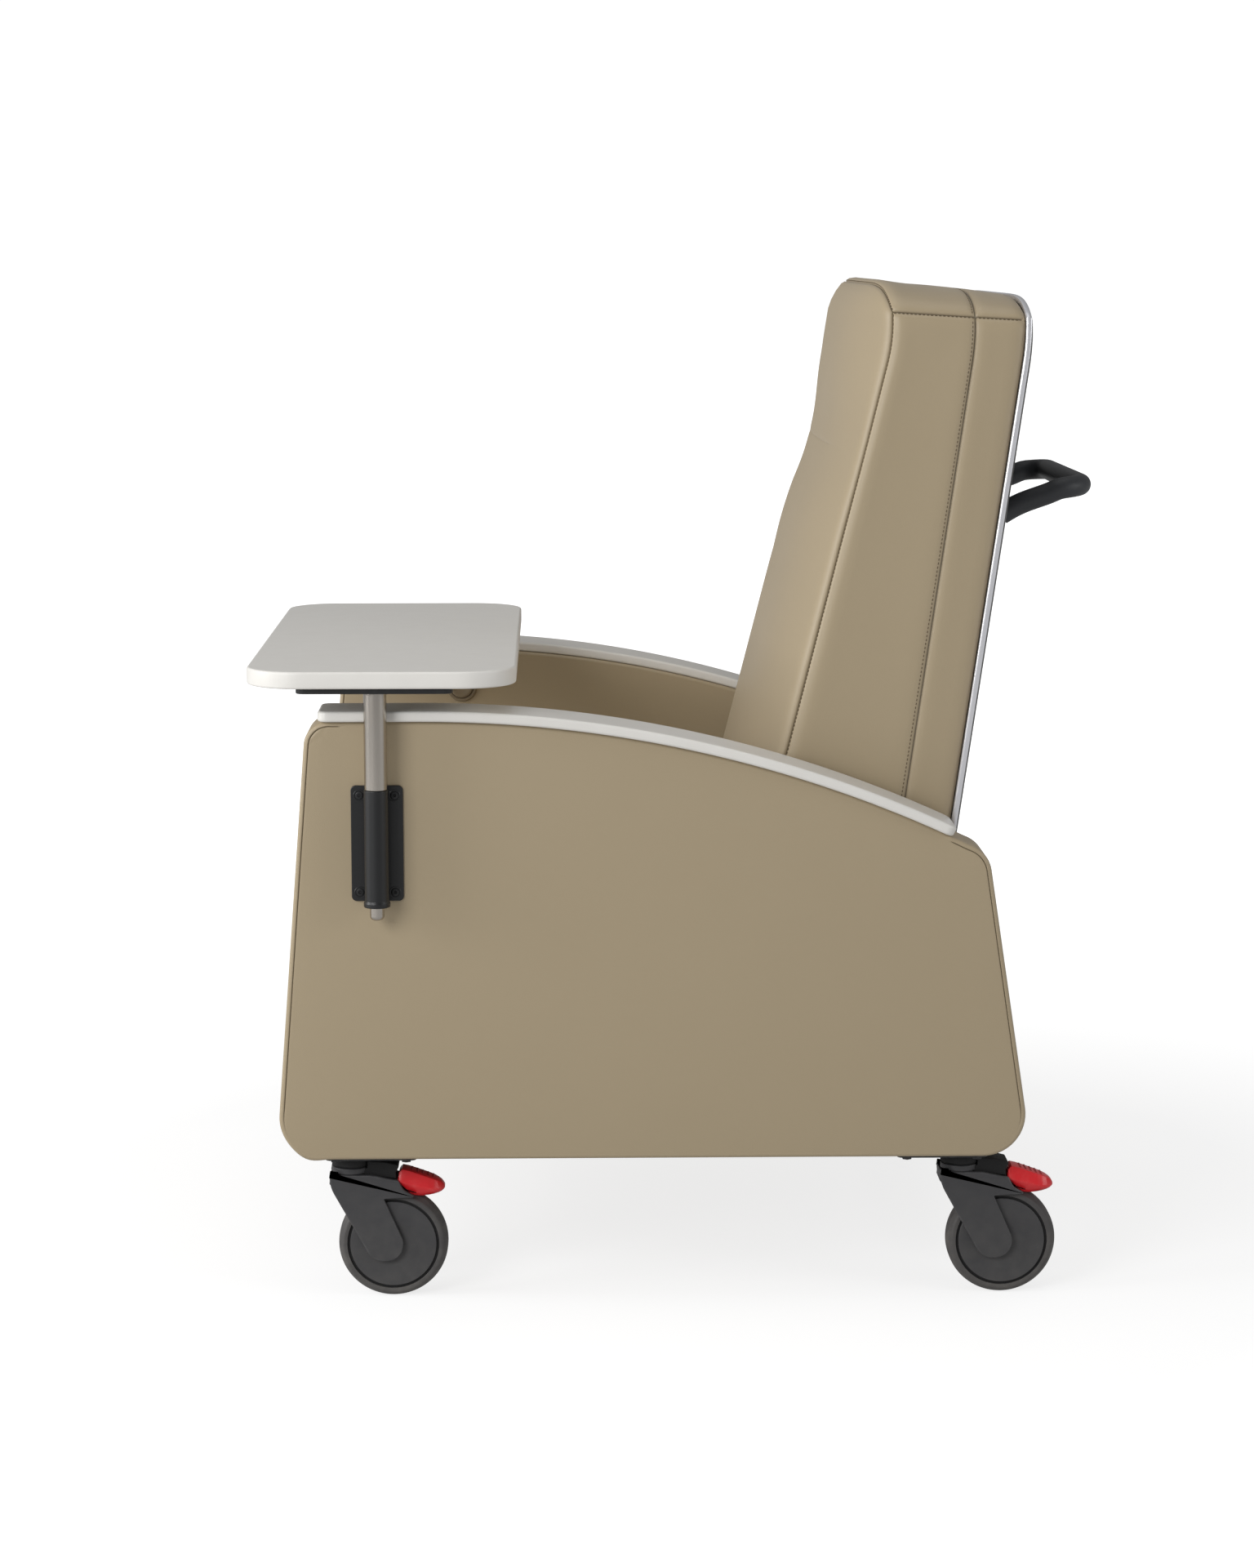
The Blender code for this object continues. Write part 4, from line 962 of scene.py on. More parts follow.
FINISHES = {
    "vinyl_panel": Finish(
        "taupe_vinyl_panel", tone(172, 156, 128), tone(163, 147, 119), 0.46, grain_cells=900.0,
        bump=0.22, bump_height=0.00025, mottle_scale=4.0, seam_shade=0.85, wear=0.10,
        worn_colour=tone(190, 176, 150), sheen=0.06,
    ),
    "cushion_vinyl": Finish(
        "taupe_vinyl_cushion", tone(172, 156, 128), tone(162, 146, 118), 0.43, grain_cells=900.0,
        bump=0.22, bump_height=0.00025, mottle_scale=5.0, seam_shade=0.85, wear=0.12,
        worn_colour=tone(190, 176, 150), sheen=0.06,
    ),
    "solid_surface": Finish(
        "offwhite_solid_surface", tone(232, 230, 225), tone(224, 221, 215), 0.38, 0.04,
        grain_cells=300.0, bump=0.03, bump_height=0.0001, mottle_scale=40.0, mottle_contrast=0.6,
        coat=0.05,
    ),
    "frame_steel": Finish(
        "dark_frame_powder", tone(46, 46, 48), tone(38, 38, 40), 0.5, grain_cells=1400.0, bump=0.18,
        wear=0.3, worn_colour=tone(120, 120, 122), dust=0.10,
    ),
    "stainless": Finish(
        "brushed_stainless", tone(190, 184, 176), tone(168, 161, 152), 0.24, 0.16, metallic=1.0,
        bump=0.06, bump_height=0.0001, mottle_scale=12.0, stretch=(2200.0, 2200.0, 14.0),
    ),
    "black_steel": Finish(
        "satin_black_powder", tone(24, 25, 27), tone(19, 20, 21), 0.36, grain_cells=1600.0,
        bump=0.12, mottle_scale=18.0, wear=0.12, worn_colour=tone(70, 69, 66),
    ),
    "board": Finish(
        "bare_plywood", tone(190, 156, 112), tone(150, 116, 76), 0.65, bump=0.2, mottle_scale=9.0,
        mottle_contrast=0.9, stretch=(900.0, 14.0, 900.0),
    ),
    "pale_trim": Finish(
        "satin_silver_trim", tone(232, 232, 236), tone(222, 222, 228), 0.24, 0.04, metallic=0.6,
        bump=0.0, bump_height=0.0001, mottle_scale=8.0, stretch=(12.0, 12.0, 3.0),
    ),
    "shell_plastic": Finish(
        "dark_grained_shell", tone(62, 59, 56), tone(50, 48, 46), 0.5, grain_cells=700.0, bump=0.3,
        bump_height=0.0003, wear=0.15, worn_colour=tone(110, 106, 102), dust=0.05,
    ),
    "handle_paint": Finish(
        "charcoal_handle_powder", tone(52, 54, 58), tone(44, 46, 49), 0.48, grain_cells=1300.0,
        bump=0.25, mottle_scale=22.0,
    ),
    "taupe_plastic": Finish(
        "taupe_moulded_plastic", tone(132, 118, 96), tone(122, 108, 86), 0.42, grain_cells=1500.0,
        bump=0.1, wear=0.2, worn_colour=tone(168, 156, 134),
    ),
    "caster_plastic": Finish(
        "charcoal_nylon", tone(60, 60, 63), tone(52, 52, 54), 0.44, grain_cells=1500.0, bump=0.16,
        mottle_scale=28.0, wear=0.28, worn_colour=tone(112, 112, 114), dust=0.14,
    ),
    "tyre": Finish(
        "grey_polyurethane_tyre", tone(62, 61, 63), tone(52, 51, 53), 0.62, grain_cells=1100.0,
        bump=0.2, mottle_scale=45.0, mottle_contrast=0.8, wear=0.4, worn_colour=tone(104, 100, 96),
        dust=0.3,
    ),
    "pedal_red": Finish(
        "red_pedal_nylon", tone(226, 36, 44), tone(208, 26, 34), 0.32, grain_cells=1500.0, bump=0.06,
        mottle_scale=25.0, wear=0.25, worn_colour=tone(238, 110, 108), seam_shade=0.0, coat=0.15,
    ),
}
# Brown thread, darkened further as painted shade round each stitch.
THREAD_WITH_STITCH_SHADE = Finish("sewing_thread_painted_shade", tone(96, 82, 60), tone(80, 68, 48), 0.7, bump=0.3, grain_cells=3000.0)
GAP_BLACK = Finish("shadow_gap_rubber", tone(20, 20, 21), tone(14, 14, 15), 0.7, grain_cells=2000.0)
# A darker copy of the pedal's red: painted shade on the ribs across the pedal's upper face.
PEDAL_TREAD_PAINTED_SHADE = Finish(
    "red_pedal_tread_painted_shade", tone(168, 22, 30), tone(150, 16, 24), 0.45,
    grain_cells=900.0, bump=0.3, mottle_scale=40.0,
)


class Palette:
    """The materials, made from the finishes."""

    def __init__(self) -> None:
        """Builds the node groups and every material."""
        groups = Groups()
        self.slots = {slot: finish.material(groups) for slot, finish in FINISHES.items()}
        self.thread = THREAD_WITH_STITCH_SHADE.material(groups)
        self.gap = GAP_BLACK.material(groups)
        self.tread = PEDAL_TREAD_PAINTED_SHADE.material(groups)

    def __getitem__(self, slot: str) -> bpy.types.Material:
        """Returns the material of one of the record's slots."""
        return self.slots[slot]

    def dress_nodes(self) -> None:
        """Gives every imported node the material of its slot."""
        for subpart in frame["record"]["subparts"]:
            node = frame["nodes"][subpart["node"]]
            node.data.materials.clear()
            node.data.materials.append(self[subpart["material_slot"]])


# ---------------------------------------------------------------- arms and side panels


@dataclass
class ArmLine:
    """The line under the armrests: level to the bend, then a circle that falls to the rear."""

    level: float = 0.670
    bend_y: float = -0.290
    radius: float = 1.400
    front_y: float = -0.403
    rear_y: float = 0.303

    def height(self, y: Array | float, offset: float = 0.0) -> Array:
        """Height at a place: level, or the circle's centre plus sqrt(radius^2 - run^2) past the bend."""
        radius = self.radius + offset
        run = np.maximum(np.asarray(y, float) - self.bend_y, 0.0)
        return self.level - self.radius + np.sqrt(radius**2 - run**2)

    def along(self, run: Array, offset: Array) -> tuple[Array, Array]:
        """Place (y, z) at a distance along the line from its front, raised square to the line.

        Args:
            run: Distance along the line.
            offset: Height above the line.

        Returns:
            The y and the z of each point.
        """
        level = self.bend_y - self.front_y
        angle = np.maximum(run - level, 0.0) / self.radius
        y = self.front_y + np.minimum(run, level) + (self.radius + offset) * np.sin(angle)
        return y, self.level - self.radius + (self.radius + offset) * np.cos(angle)

    def length(self) -> float:
        """Distance along the line from its front to its rear."""
        return self.bend_y - self.front_y + self.radius * np.arcsin((self.rear_y - self.bend_y) / self.radius)


@dataclass
class SidePanels:
    """The two upholstered slabs, sewn along the edge between face and boxing."""

    arm: ArmLine
    inner_x: float = 0.312
    outer_x: float = 0.386
    bottom_z: float = 0.171
    front_foot: float = -0.4560
    front_head: float = -0.4167
    rear_foot: float = 0.3985
    shoulder: Pair = (0.3445, 0.5195)
    fillet: float = 0.0040
    seam_at: float = 0.0054
    seam_depth: float = 0.0012
    crown: float = 0.0016

    def outline(self) -> list[Pair]:
        """The slab's outline: leaning ends, and a top that follows the arm."""
        places = np.linspace(0.322, -0.385, 60)
        top = [(float(y), float(self.arm.height(y)) - 0.0003, 0.0) for y in places]
        return rounded_path(
            [
                (self.rear_foot, self.bottom_z, 0.048),
                (*self.shoulder, 0.035),
                *top,
                (self.front_head, self.arm.level - 0.0003, 0.028),
                (self.front_foot, self.bottom_z, 0.048),
            ]
        )

    def relief(self, points: Array, depth: float) -> Array:
        """Height over a face: a low crown, a seam near the rim, and puckers beside it at the corners.

        The crown is crown (1 - exp(-depth / 40 mm)). The seam is -seam_depth exp(-((depth -
        seam_at) / 0.55 mm)^2) and fades out along the bottom. The puckers are a sine of the place.
        """
        sewn = self.sewn(points[:, 0], points[:, 1])
        crown = self.crown * (1.0 - np.exp(-max(depth - self.seam_at, 0.0) / 0.040))
        seam = self.seam_depth * np.exp(-(((depth - self.seam_at) / 0.00055) ** 2))
        near_rear = np.exp(-((np.hypot(points[:, 0] - 0.330, points[:, 1] - 0.505) / 0.040) ** 2))
        near_front = np.exp(-((np.hypot(points[:, 0] + 0.395, points[:, 1] - 0.655) / 0.030) ** 2))
        fade = np.exp(-(((depth - self.seam_at) / 0.010) ** 2))
        wave = np.sin((points[:, 0] - points[:, 1]) * 2 * pi / 0.0085)
        pucker = 0.00028 * wave * (near_rear + near_front) * fade
        return crown - seam * sewn + pucker

    def sewn(self, y: Array, z: Array) -> Array:
        """1 along the front and rear edges, fading out at the bottom and under the armrest."""
        upright = np.clip((z - self.bottom_z - 0.030) / 0.030, 0.0, 1.0)
        under_arm = (z > self.arm.height(y) - 0.012) & (y > -0.379) & (y < 0.300)
        return upright * np.where(under_arm, 0.0, 1.0)

    def build(self, palette: Palette) -> None:
        """Makes both panels."""
        rings = (0.0045, 0.0049, 0.0052, 0.0054, 0.0056, 0.0059, 0.0063, 0.0070, 0.0085, 0.011, 0.015, 0.021)
        plate = Plate(
            self.outline(), self.inner_x, self.outer_x, self.fillet, Plane.YZ, 0.005, rings, 26,
            relief=self.relief,
        )
        shape = plate.shape()
        # The seam mask sets where the vinyl paints shade into the seam's groove.
        shape.masks["seam"] = self.seam_mask(plate, shape)
        y, z = shape.points[:, 1], shape.points[:, 2]
        foot = np.exp(-(((y + 0.425) / 0.017) ** 2)) * np.clip((0.200 - z) / 0.029, 0.0, 1.0)
        shape.points[:, 2] = z - 0.0035 * foot
        for side, sign in SIDES:
            node = f"side_panel_{side}"
            form = shape if sign > 0 else shape.mirrored()
            panel = make_piece(
                f"{node}_cover", form, palette["vinyl_panel"], "chassis", (node,)
            )

    def seam_mask(self, plate: Plate, shape: Shape) -> Array:
        """1 in the seam and 0 away from it, read from the rings' order, and none along the bottom; the vinyl
        darkens its colour there as painted shade.
        """
        outline = spaced(self.outline(), plate.spacing)
        face = plate.face_rings(outline)
        ring = [np.exp(-(((depth - self.seam_at) / 0.00042) ** 2)) for _, depth in face]
        rim = [0.0] * (2 * (plate.fillet_steps + 1))
        mask = np.repeat(np.array([*reversed(ring), *rim, *ring]), len(outline))
        return mask * self.sewn(shape.points[:, 1], shape.points[:, 2])


@dataclass
class ArmCaps:
    """The solid-surface caps, drawn flat as rounded strips and bent along the arm's line."""

    arm: ArmLine
    inner_x: float = 0.316
    outer_x: float = 0.394
    thickness: float = 0.012
    end_radius: float = 0.011
    edge: float = 0.0034

    def build(self, palette: Palette) -> None:
        """Makes both caps."""
        outline = rounded_rectangle((0.0, self.inner_x), (self.arm.length(), self.outer_x), self.end_radius)
        flat = Plate(outline, 0.0, self.thickness, self.edge, Plane.XY, 0.006, fill_rings=16).shape()
        run, across, rise = flat.points.T
        y, z = self.arm.along(run, rise)
        bent = Shape(np.stack((across, y, z), axis=1), flat.faces, flat.masks)
        for side, sign in SIDES:
            node = f"armrest_{side}"
            form = bent if sign > 0 else bent.mirrored()
            make_piece(f"{node}_cap", form, palette["solid_surface"], "chassis", (node,))


# ---------------------------------------------------------------- back


@dataclass
class BackRest:
    """The back: its sewn cushion, silver moulding, rear shell and push handle."""

    half_width: float = 0.298
    bottom_z: float = 0.405
    side_top_z: float = 1.118
    crown_forward: float = 0.045
    crown_up: float = 0.034
    rear_floor_y: float = 0.2365
    rear_lean: float = 0.1405
    front_floor_y: float = -0.0387
    front_lean: float = 0.254
    gusset: float = 0.058
    gusset_at: float = 0.30
    head_seam_at: float = 0.49
    waist_z: float = 0.958
    waist_depth: float = 0.0165
    waist_height: float = 0.075
    roll: float = 0.020
    roll_z: float = 1.070
    roll_height: float = 0.080
    tuck: float = 0.006
    tuck_z: float = 0.900
    tuck_height: float = 0.080
    lip: float = 0.010
    lip_z: float = 1.060
    lip_height: float = 0.058
    rear_bend_z: float = 1.060
    rear_bend: float = 0.0095
    rear_bend_height: float = 0.074
    shell_crown: float = 0.020
    corner: float = 0.028
    handle_radius: float = 0.0125
    handle_bend: float = 0.030
    handle_rise: float = 0.1

    def rear_y(self, z: Array) -> Array:
        """The rear line: it leans back with height, and bends forward again near the top."""
        bend = self.rear_bend * np.clip((z - self.rear_bend_z) / self.rear_bend_height, 0.0, 1.2) ** 2
        return self.rear_floor_y + self.rear_lean * z - bend

    def top_z(self, a: Array, depth: Array) -> Array:
        """The top's height: flat across, then quickly down to the side's top over the last tenth."""
        full = 1.0 - np.abs(a) ** 8
        return self.side_top_z + full * (self.crown_up - 0.010 * depth) - 0.008 * depth

    def place(self, unit: Array) -> Array:
        """Puts a unit block's point on the back.

        x is the half width times a. The top rises towards the middle by crown_up (1 - |a|^8).
        y runs from the front line, bowed forward by crown_forward (1 - |a|^3.2), to the gusset's
        seam and on to the rear line. The bow is drawn in at the waist by waist_depth
        exp(-((z - waist_z) / waist_height)^2), and the front's upper edge is rolled back.
        """
        a, d, h = unit.T
        full = 1.0 - np.abs(a) ** 3.2
        depth, rise = (d + 1) / 2, (h + 1) / 2
        z = self.bottom_z + (self.top_z(a, depth) - self.bottom_z) * rise
        waist = self.waist_depth * np.exp(-(((z - self.waist_z) / self.waist_height) ** 2))
        roll = self.roll * np.clip((z - self.roll_z) / self.roll_height, 0.0, 1.0) ** 2
        low = self.tuck * np.clip((self.tuck_z - z) / self.tuck_height, 0.0, 1.0)
        bow = self.crown_forward - waist - roll - low
        upright = self.lip * np.clip((z - self.lip_z) / self.lip_height, 0.0, 1.0) ** 2
        front = self.front_floor_y + self.front_lean * z - upright - bow * full
        rear = self.rear_y(z)
        seam = rear - self.gusset
        ahead = front + (seam - front) * (d + 1) / (1 + self.gusset_at)
        behind = seam + self.gusset * (d - self.gusset_at) / (1 - self.gusset_at)
        y = np.where(d < self.gusset_at, ahead, behind)
        return np.stack((a * self.half_width, y, z), axis=1)

    def seams(self, cube: Array) -> Array:
        """Distance from the nearest seam: front edges, top edges, gusset line and head channel."""
        a, d, h = cube.T
        wide, deep, tall = self.half_width, 0.095, 0.357
        side = (1 - np.abs(a)) * wide
        front, top = (d + 1) * deep, (1 - h) * tall
        gusset = np.abs(d - self.gusset_at) * deep + np.where((d > 0.999) | (d < -0.999), 1.0, 0.0)
        head = np.abs(h - self.head_seam_at) * tall + np.where(d > -0.999, 1.0, 0.0)
        head = head + 0.0016 + np.clip(np.abs(a) - 0.45, 0.0, 1.0) * 0.02
        found = [np.hypot(side, front), np.hypot(side, top), np.hypot(front, top), gusset, head]
        return np.min(found, axis=0)

    def soft(self, cube: Array) -> Array:
        """How freely the foam swells: most on the front, little on the sides, none at rear or bottom."""
        a, d, h = cube.T
        rear = np.clip((1 - d) / 0.5, 0.0, 1.0)
        bottom = np.clip((h + 1) / 0.25, 0.0, 1.0)
        side = np.where(np.abs(a) > 0.999, 0.12, 0.34)
        return side * rear * bottom

    def build(self, palette: Palette) -> None:
        """Makes every piece of the back."""
        self.build_cushion(palette)
        self.build_moulding(palette)
        self.build_shell(palette)
        self.build_handle(palette)

    def build_cushion(self, palette: Palette) -> None:
        """The cushion and the stitching beside its seams."""
        form = PaddedForm(
            (self.half_width, 0.095, 0.357), 0.014, self.place,
            ((-1.0, 1.0), (-1.0, self.gusset_at, 1.0), (-1.0, self.head_seam_at, 1.0)),
            self.seams, self.soft, Inflation(cap=0.022),
        )
        cushion = make_piece(
            "back_cushion_cover", form.build(), palette["cushion_vinyl"], "back",
            ("back_cushion",), sharp=75.0,
        )
        rows = []
        beside = 0.0045 / 0.095
        for end in (-1.0, 1.0):
            rows.append(stitch_row(*form.line_on(0, end, 1, -1.0 + beside)))
            rows.append(stitch_row(*form.line_on(0, end, 1, self.gusset_at - beside)))
            rows.append(stitch_row(*form.line_on(0, end, 2, 1.0 - 0.004 / 0.357)))
        rows.append(stitch_row(*form.line_on(2, 1.0, 1, self.gusset_at - beside)))
        rows.append(stitch_row(*form.line_on(2, 1.0, 1, -1.0 + beside)))
        make_piece("back_stitching", joined(rows), palette.thread, "back")

    def rim(self, grow: float = 0.0) -> Array:
        """The rear's outline in (x, z): straight sides, round lower corners and the crowned top."""
        across = np.linspace(1.0, -1.0, 61)
        top = self.top_z(across, np.ones(61))
        crown = [(float(x) * self.half_width, float(z), 0.0) for x, z in zip(across, top)]
        lower = [(side * self.half_width, self.bottom_z, self.corner) for side in (-1, 1)]
        outline = spaced(rounded_path([*crown, *lower]), 0.006)
        return inset(outline, -grow)

    def on_rear(self, flat: Array, out: Array | float) -> Array:
        """Puts (x, z) points on the rear line, moved out of it by a distance square to its lean."""
        lean = atan2(self.rear_lean, 1.0)
        y = self.rear_y(flat[:, 1]) + out * cos(lean)
        return np.stack((flat[:, 0], y, flat[:, 1] - out * sin(lean)), axis=1)

    def build_moulding(self, palette: Palette) -> None:
        """A half-round silver strip that caps the seam between cushion and shell.

        Each point = rim + outward (a) + rear (b), with (a, b) on a half-round section.
        """
        turn = np.linspace(-0.5 * pi, 0.5 * pi, 15)
        section = [(0.0016 * cos(t), 0.0022 + 0.0032 * sin(t)) for t in turn]
        section += [(-0.006, 0.0054), (-0.006, -0.0010)]
        rows = [self.on_rear(self.rim(push), back) for push, back in section]
        faces = grid_faces(len(section), len(rows[0]), close_rows=True, close_columns=True)
        shape = Shape(np.concatenate(rows), [tuple(quad) for quad in faces.tolist()])
        make_piece("back_moulding", shape, palette["pale_trim"], "back", ("back_trim",))

    def build_shell(self, palette: Palette) -> None:
        """The domed rear shell: height = crown (1 - reach^3), reach running from middle to rim."""
        rim = self.rim(-0.0030)
        middle = rim.mean(axis=0)
        shares = np.concatenate((np.linspace(0.0, 0.9, 24), np.linspace(0.92, 1.0, 6)))
        front, back = [], []
        for share in shares:
            flat = middle + (rim - middle) * share
            lift = 0.0030 + self.shell_crown * (1 - share**3)
            back.append(self.on_rear(flat, lift + 0.0030))
            front.append(self.on_rear(flat, lift))
        rows = [*front, *reversed(back)]
        faces = grid_faces(len(rows), len(rim), close_columns=True)
        shape = Shape(np.concatenate(rows), [tuple(quad) for quad in faces.tolist()])
        make_piece(
            "back_shell_cover", shape, palette["shell_plastic"], "back", ("back_shell",)
        )

    def handle_path(self) -> Array:
        """The handle's centre line: two arms that rise out of the shell, and a level bar."""
        arm = [(0.380, 0.881), (0.393, 0.889), (0.407, 0.8955), (0.423, 0.901), (0.439, 0.9065)]
        high = np.array(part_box("push_handle")[1]) - DATUM
        side, rear, bar = (high - self.handle_radius).tolist()
        bend = self.handle_bend
        corner = arc_points((side - bend, rear - bend), bend, 0.0, pi / 2)
        left = [(side, y, z) for y, z in arm]
        left += [(x, y, bar - (rear - y) * self.handle_rise) for x, y in corner]
        right = [(-x, y, z) for x, y, z in reversed(left)]
        rough = np.array([*left, *right])
        run = np.concatenate(([0.0], np.cumsum(np.linalg.norm(np.diff(rough, axis=0), axis=1))))
        even = np.linspace(0.0, run[-1], 200)
        path = np.stack([np.interp(even, run, rough[:, k]) for k in range(3)], axis=1)
        for _ in range(8):
            path[1:-1] = (path[:-2] + 2 * path[1:-1] + path[2:]) / 4
        return path

    def build_handle(self, palette: Palette) -> None:
        """The bent tube."""
        tube = sweep(self.handle_path(), circle(self.handle_radius, 44))
        make_piece(
            "push_handle_tube", tube, palette["handle_paint"], "back", ("push_handle",)
        )


# ---------------------------------------------------------------- seat and legrest


@dataclass
class Block:
    """A padded block between two corners, crowned towards one of its faces."""

    low: Triple
    high: Triple
    radius: float
    crown_axis: int
    crown_end: float
    crown: float

    @classmethod
    def around(cls, node: str, radius: float, crown_axis: int, crown_end: float, crown: float) -> "Block":
        """Takes the block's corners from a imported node's box.

        Args:
            node: The node.
            radius: Radius of the rounded edges.
            crown_axis: The axis that the crowned face is square to.
            crown_end: -1 or 1, that face's end of the axis.
            crown: How far the face rises in its middle.

        Returns:
            The block, in the chair's datum.
        """
        low, high = (tuple((np.array(corner) - DATUM).tolist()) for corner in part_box(node))
        return cls(low, high, radius, crown_axis, crown_end, crown)

    def half(self) -> Triple:
        """Half the block's size."""
        return tuple((b - a) / 2 for a, b in zip(self.low, self.high))

    def place(self, unit: Array) -> Array:
        """Puts a unit block's point in the block, and lifts the crowned face in its middle.

        The lift is crown (1 - p^4)(1 - q^4) (1 + r) / 2, with p and q across the face and r the
        place along the crown's axis, and r = 1 on the crowned face.
        """
        low, high = np.array(self.low), np.array(self.high)
        points = (low + high) / 2 + unit * (high - low) / 2
        first, second = [k for k in range(3) if k != self.crown_axis]
        share = (1 - unit[:, first] ** 4) * (1 - unit[:, second] ** 4)
        near = (1 + self.crown_end * unit[:, self.crown_axis]) / 2
        points[:, self.crown_axis] += self.crown_end * self.crown * share * near
        return points

    def edge_seams(self, cube: Array) -> Array:
        """Distance from the seam that runs round the crowned face, one radius down its sides."""
        half = np.array(self.half())
        first, second = [k for k in range(3) if k != self.crown_axis]
        down = (1 - self.crown_end * cube[:, self.crown_axis]) * half[self.crown_axis]
        inward = (1 - np.abs(cube)) * np.array(half)
        side = np.minimum(inward[:, first], inward[:, second])
        return np.hypot(side, down)

    def soft(self, cube: Array) -> Array:
        """Only the crowned face and its edges swell."""
        return np.clip(self.crown_end * cube[:, self.crown_axis] * 1.6 - 0.6, 0.0, 1.0) * 0.5

    def form(self, inflation: Inflation | None = None) -> PaddedForm:
        """The padded form, with fine steps at every edge."""
        ends = ((-1.0, 1.0),) * 3
        return PaddedForm(self.half(), self.radius, self.place, ends, self.edge_seams, self.soft, inflation)

    def stitches(self, form: PaddedForm) -> Shape:
        """Stitch rows beside the seam, on the crowned face's four sides."""
        half = self.half()
        first, second = [k for k in range(3) if k != self.crown_axis]
        rows = []
        for across in (first, second):
            for end in (-1.0, 1.0):
                place = end * (1 - 0.0045 / half[across])
                rows.append(stitch_row(*form.line_on(self.crown_axis, self.crown_end, across, place)))
        return joined(rows)


@dataclass
class SeatUnit:
    """The seat cushion and the padded rear cover."""

    cushion: Block = field(default_factory=lambda: Block.around("seat_cushion", 0.020, 2, 1.0, 0.006))
    cover: Block = field(default_factory=lambda: Block.around("rear_panel", 0.005, 1, 1.0, 0.002))

    def build(self, palette: Palette) -> None:
        """Makes the cushion with its stitching, and the cover."""
        form = self.cushion.form(Inflation(cap=0.012))
        seat = make_piece(
            "seat_cushion_cover", form.build(), palette["cushion_vinyl"], "chassis",
            ("seat_cushion",), sharp=75.0,
        )
        make_piece(
            "seat_stitching", self.cushion.stitches(form), palette.thread, "chassis"
        )
        form = self.cover.form()
        rear = make_piece(
            "rear_panel_cover", form.build(), palette["vinyl_panel"], "chassis",
            ("rear_panel",), sharp=75.0,
        )


@dataclass
class LegRest:
    """The legrest's cushion, with its stitching."""

    cushion: Block = field(default_factory=lambda: Block.around("legrest_cushion", 0.016, 1, -1.0, 0.004))

    def build(self, palette: Palette) -> None:
        """Makes the cushion."""
        form = self.cushion.form(Inflation(cap=0.008))
        pad = make_piece(
            "legrest_cushion_cover", form.build(), palette["cushion_vinyl"], "legrest",
            ("legrest_cushion",), sharp=75.0,
        )
        make_piece(
            "legrest_stitching", self.cushion.stitches(form), palette.thread, "legrest"
        )


# ---------------------------------------------------------------- tray


